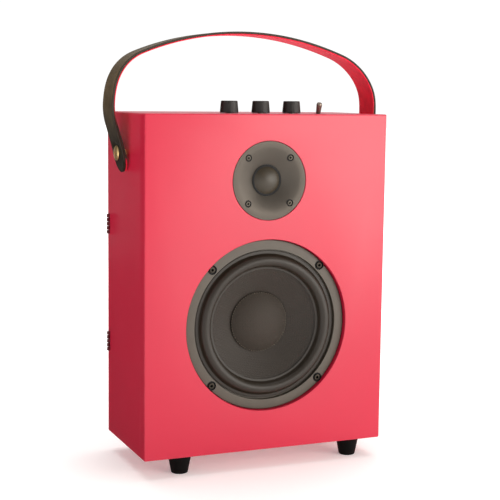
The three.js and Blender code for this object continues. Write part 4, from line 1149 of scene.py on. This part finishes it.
def strap_band(look, lean, outside, inside, bevel, inset, swell=0.0):
    """A band of the strap between two depths inside its outer line, with rounded edges, round tails
    and the beds that the screw heads press into it. It grows inwards by the swell towards the tails."""
    half = strap_line(look, lean)
    line = [(point, out, -1) for point, out in reversed(half[1:])] + [(point, out, 1) for point, out in half]
    bed = box_of("handle_screw_right")[1].x - 2.7
    form = bmesh.new()
    rows = []
    for point, out, side in line:
        sunk = HALF_WIDTH - TAIL - point.y
        wide = math.sqrt(max(0.0, HALF_WIDTH ** 2 - max(0.0, sunk) ** 2)) - inset
        wide = max(wide, 0.25)
        rows.append([])
        lifted = ease((point.y + 5) / 50)
        grown = inside + swell * (1 - lifted)
        for across, depth in band_section(wide, outside, grown, min(bevel, wide * 0.6)):
            x, height = point.x - depth * out.x, point.y - depth * out.y
            reach = math.hypot(across, height)
            if reach < 11 and x > bed and depth < (outside + inside) / 2:
                x = bed + (x - bed) * ease((reach - 7.5) / 3)
            shift = (look.hang * lifted + look.slump * ease((height - 50) / 60)) / MM
            rows[-1].append(form.verts.new((side * x - shift, across + PIVOT.y, height + PIVOT.z)))
    return skin(form, rows)


def band_section(wide, outside, inside, bevel):
    """Points round a band's section as (across, depth), with rounded corners and a flat middle."""
    corners = [(-wide + bevel, outside + bevel, 180), (wide - bevel, outside + bevel, 270),
               (wide - bevel, inside - bevel, 0), (-wide + bevel, inside - bevel, 90)]
    points = []
    for i, (across, depth, first) in enumerate(corners):
        for k in range(5):
            angle = math.radians(first + 22.5 * k)
            points.append((across + bevel * math.cos(angle), depth + bevel * math.sin(angle)))
        if i in (0, 2):
            sign, level = (1, outside) if i == 0 else (-1, inside)
            points += [(sign * (wide - bevel) * (k / 7 - 1), level) for k in range(1, 14)]
    return points


class AMP_OT_strap(bpy.types.Operator):
    """Leather carrying strap with its red lining"""
    bl_idname = "amp.strap"
    bl_label = "Carrying Strap"

    def execute(self, context):
        look = look_of("strap_look")
        thick = look.thick / MM
        lining_in = thick + 1.0
        lean = strap_lean(look, lining_in + 0.5)
        outer = strap_band(look, lean, 0, thick, 0.8, 0)
        hide = strap_hide(look, HALF_WIDTH, CABINET_HIGH.z * MM)
        piece("handle_strap_hide", outer, hide, "strap_leather", "handle_strap", crease=60)
        inner = strap_band(look, lean, thick + 0.05, lining_in, 0.3, 0.3, 0.5)
        suede = lining_suede(look, HALF_WIDTH, (PIVOT.z + 25) * MM)
        piece("handle_lining_hide", inner, suede, "lining_leather", "handle_lining", crease=60)
        return {"FINISHED"}


class AMP_OT_strap_screws(bpy.types.Operator):
    """Brass shoulder screws of the strap and their nuts inside"""
    bl_idname = "amp.strap_screws"
    bl_label = "Strap Screws"

    def execute(self, context):
        brass = worked_metal("brass_turned", look_of("strap_look").brass, 0.36, 0.48, ring="X", tarnish=0.1)
        steel = worked_metal("steel_nickel_plated_nut", linear("#b5b2ab"), 0.25, 0.38)
        for side, sign in (("left", -1), ("right", 1)):
            node = f"handle_screw_{side}"
            low, high = box_of(node)
            face = max(abs(low.x), abs(high.x))
            end = min(abs(low.x), abs(high.x))
            at = Vector((0, PIVOT.y, PIVOT.z))
            profile = [[0, face], [3, face - 0.15, 3], [5.6, face - 0.6, 3], [7, face - 1.5, 0.6],
                       [7, face - 2.4, 0.3], [3.4, face - 2.4], [3.4, CABINET_HIGH.x],
                       [2.5, CABINET_HIGH.x], [2.5, end, 0.4], [0, end]]
            body = turned([[r, sign * d, *f] for r, d, *f in profile], at, "x", 72)
            socket = turned([[0, sign * (face + 1)], [1.5, sign * (face + 1)], [1.5, sign * (face - 1.3)],
                             [0, sign * (face - 1.5)]], at, "x", 6)
            piece(f"{node}_turned", carved(body, [socket]), brass, "brass_hardware", node)
            dress(steel, "plated_steel", f"handle_nut_{side}")
        return {"FINISHED"}


# ---------------------------------------------------------------- inside and sockets

class AMP_OT_insides(bpy.types.Operator):
    """Amplifier board, battery and crossover inside the cabinet"""
    bl_idname = "amp.insides"
    bl_label = "Boards and Battery"

    def execute(self, context):
        dress(solder_mask(), "circuit_board", "amplifier_board", "crossover_board")
        wrap = moulded_plastic("pvc_shrink_wrap", linear("#2b4f86"), 0.25, 0.4, 4)
        piece("battery_pack_wrapped", self.cells(), wrap, "battery_wrap", "battery_pack")
        return {"FINISHED"}

    def cells(self):
        """Shrink wrap drawn over a row of round cells: swells over each cell, with puckered ends."""
        low, high = box_of("battery_pack")
        centre, half = (low + high) / 2, (high - low) / 2
        count = max(2, round(half.x / half.y))
        sides, corner = 96, 6.0
        form = bmesh.new()
        rings = []
        steps = count * 16
        for k in range(steps + 1):
            along = -1 + 2 * k / steps
            waist = 0.9 * (1 - abs(math.sin(math.pi * count * (along + 1) / 2)))
            pucker = 2.5 * max(0.0, (abs(along) - 0.97) / 0.03) ** 2
            inset = waist + pucker
            rings.append([])
            for i in range(sides):
                angle = 2 * math.pi * i / sides
                across, up = math.cos(angle), math.sin(angle)
                reach = (abs(across) ** corner + abs(up) ** corner) ** (-1 / corner)
                rings[-1].append(form.verts.new((
                    centre.x + along * half.x,
                    centre.y + (half.y - inset) * across * reach,
                    centre.z + (half.z - inset) * up * reach)))
        return skin(form, rings)


class AMP_OT_sockets(bpy.types.Operator):
    """Input jack and power socket on the right side"""
    bl_idname = "amp.sockets"
    bl_label = "Sockets"

    def execute(self, context):
        black = moulded_plastic("polyamide_moulded", linear("#1c1a18"), 0.3, 0.45, 0.7)
        for node, bore in (("input_jack", 3.3), ("power_socket", 3.1)):
            low, high = box_of(node)
            flange = (high.z - low.z) / 2
            barrel = flange - (3.0 if node == "input_jack" else 2.3)
            at = Vector((0, (low.y + high.y) / 2, (low.z + high.z) / 2))
            face, wall = high.x, CABINET_HIGH.x
            inner = wall - 12
            profile = [[bore, low.x], [bore, face, 0.4], [bore + 1.6, face, 0.3],
                       [bore + 1.9, face - 0.35, 0.1], [flange, face - 0.35, 0.7], [flange, wall],
                       [barrel, wall], [barrel, inner - 0.3], [barrel + 1.5, inner - 0.3],
                       [barrel + 1.5, low.x]]
            piece(f"{node}_moulded", turned(profile, at, "x", 64, closed=True), black, "socket_plastic", node)
        return {"FINISHED"}


# ---------------------------------------------------------------- stage

CAMERA_PLACE = (-0.46921, -1.13091, 0.35891)
CAMERA_TURN = math.radians(22.77)
CAMERA_DIP = math.radians(7.19)
CAMERA_TILT = math.radians(0.67)


def soft_box(name, place, target, size, power, tint=(1, 1, 1)):
    light = bpy.data.lights.new(name, "AREA")
    light.shape = "RECTANGLE"
    light.size, light.size_y = size
    light.energy = power
    light.color = tint
    made = bpy.data.objects.new(name, light)
    made.location = place
    made.rotation_euler = (Vector(target) - Vector(place)).to_track_quat("-Z", "Y").to_euler()
    bpy.context.scene.collection.objects.link(made)


class AMP_OT_stage(bpy.types.Operator):
    """Pale floor, soft studio light and the camera"""
    bl_idname = "amp.stage"
    bl_label = "Stage"

    def execute(self, context):
        look = look_of("stage_look")
        self.floor(look)
        self.lights(context, look)
        self.camera(context, look)
        return {"FINISHED"}

    def floor(self, look):
        form = bmesh.new()
        bmesh.ops.create_circle(form, cap_ends=True, radius=12, segments=96)
        mesh = bpy.data.meshes.new("floor")
        form.to_mesh(mesh)
        form.free()
        floor = bpy.data.objects.new("floor", mesh)
        bpy.context.scene.collection.objects.link(floor)
        floor.location.z = CAD_BOX[0].z
        made, tree, shader, place = start("paper_matte_coated", {"Roughness": 0.9, "Specular IOR Level": 0.1})
        vary(tree, shader, place, look.floor, 300, 0.01)
        reach = add(tree, "VectorMath", {"operation": "LENGTH"}, {0: place})
        glow = add(tree, "MapRange", {"From Min": 0.08, "From Max": 1.2, "To Min": 0.25},
                   {"Value": reach.outputs["Value"]})
        tree.links.new(glow.outputs["Result"], shader.inputs["Emission Strength"])
        shader.inputs["Emission Color"].default_value = (1, 1, 1, 1)
        mesh.materials.append(made)
        self.flag()

    def flag(self):
        """Dark cloths behind on the left, one hung and one laid on the floor, which the lacquer reflects."""
        made, tree, shader, place = start("cotton_molton_black", {"Roughness": 0.95})
        vary(tree, shader, place, linear("#151414"), 40, 0.1)
        hung = to_object("flag", block((-950, -10, 0), (800, 10, 1500), 4))
        hung.location = (-0.95, 1.05, CAD_BOX[0].z)
        hung.rotation_euler.z = math.radians(40)
        laid = to_object("floor_flag", block((-1300, -70, 1), (-125, 1500, 3), 0.5))
        laid.location.z = CAD_BOX[0].z
        laid.visible_diffuse = False
        laid.visible_shadow = False
        for cloth in (hung, laid):
            cloth.data.materials.append(made)
            cloth.visible_camera = False

    def lights(self, context, look):
        soft_box("key_light", (1.2, -1.85, 0.6), (0, 0, 0.22), (1.35, 1.1), look.key, (1, 0.95, 0.89))
        soft_box("side_light", (2.0, -0.95, 0.6), (0, 0, 0.2), (1.1, 1.2), look.side, (1, 0.95, 0.89))
        soft_box("fill_light", (-1.9, -0.9, 1.1), (0, 0, 0.2), (1.2, 1.2), look.fill)
        soft_box("top_light", (0.2, 0.5, 2.4), (0, 0, 0), (2.4, 2.4), look.top)
        world = bpy.data.worlds.new("studio")
        world.use_nodes = True
        tree = world.node_tree
        ahead = add(tree, "TexCoord").outputs["Generated"]
        height = add(tree, "SeparateXYZ", links={"Vector": ahead}).outputs["Z"]
        band = add(tree, "MapRange", {
            "interpolation_type": "SMOOTHSTEP", "From Min": 0.12, "From Max": 0.4,
            "To Min": 1.05, "To Max": 0.35,
        }, {"Value": height})
        tree.nodes["Background"].inputs["Color"].default_value = (1, 1, 1, 1)
        tree.links.new(band.outputs["Result"], tree.nodes["Background"].inputs["Strength"])
        context.scene.world = world
        context.scene.view_settings.view_transform = "Standard"

    def camera(self, context, look):
        sin, cos = math.sin, math.cos
        level = Vector((sin(CAMERA_TURN), cos(CAMERA_TURN), 0))
        ahead = level * cos(CAMERA_DIP) - Vector((0, 0, sin(CAMERA_DIP)))
        right = Vector((cos(CAMERA_TURN), -sin(CAMERA_TURN), 0))
        up = right.cross(ahead)
        tilted_right = right * cos(CAMERA_TILT) + up * sin(CAMERA_TILT)
        tilted_up = up * cos(CAMERA_TILT) - right * sin(CAMERA_TILT)
        data = bpy.data.cameras.new("camera")
        data.lens = look.lens
        camera = bpy.data.objects.new("camera", data)
        camera.matrix_world = Matrix((tilted_right, tilted_up, -ahead)).transposed().to_4x4()
        camera.location = CAMERA_PLACE
        context.scene.collection.objects.link(camera)
        context.scene.camera = camera


# ---------------------------------------------------------------- panel and order of work

OPERATORS = (
    AMP_OT_stage, AMP_OT_cabinet, AMP_OT_door, AMP_OT_hinges, AMP_OT_feet, AMP_OT_woofer, AMP_OT_tweeter,
    AMP_OT_socket_screws, AMP_OT_knobs, AMP_OT_toggle, AMP_OT_strap, AMP_OT_strap_screws, AMP_OT_insides,
    AMP_OT_sockets,
)


class AMP_PT_pieces(bpy.types.Panel):
    """Lists every piece and the sizes and colours that it uses"""
    bl_label = "Amplifier"
    bl_idname = "AMP_PT_pieces"
    bl_space_type = "VIEW_3D"
    bl_region_type = "UI"
    bl_category = "Amplifier"

    def draw(self, context):
        for group in GROUPS:
            box = self.layout.box()
            values = getattr(context.scene, group)
            for name in values.bl_rna.properties.keys():
                if name not in ("rna_type", "name"):
                    box.prop(values, name)
        for operator in OPERATORS:
            self.layout.operator(operator.bl_idname)


def register():
    for made in (*GROUPS.values(), *OPERATORS, AMP_PT_pieces):
        bpy.utils.register_class(made)
    for name, group in GROUPS.items():
        setattr(bpy.types.Scene, name, PointerProperty(type=group))


def unregister():
    for name in GROUPS:
        delattr(bpy.types.Scene, name)
    for made in (AMP_PT_pieces, *reversed(OPERATORS), *reversed(GROUPS.values())):
        bpy.utils.unregister_class(made)


def main():
    register()
    for operator in OPERATORS:
        area, name = operator.bl_idname.split(".")
        getattr(getattr(bpy.ops, area), name)()


if __name__ == "__main__":
    main()
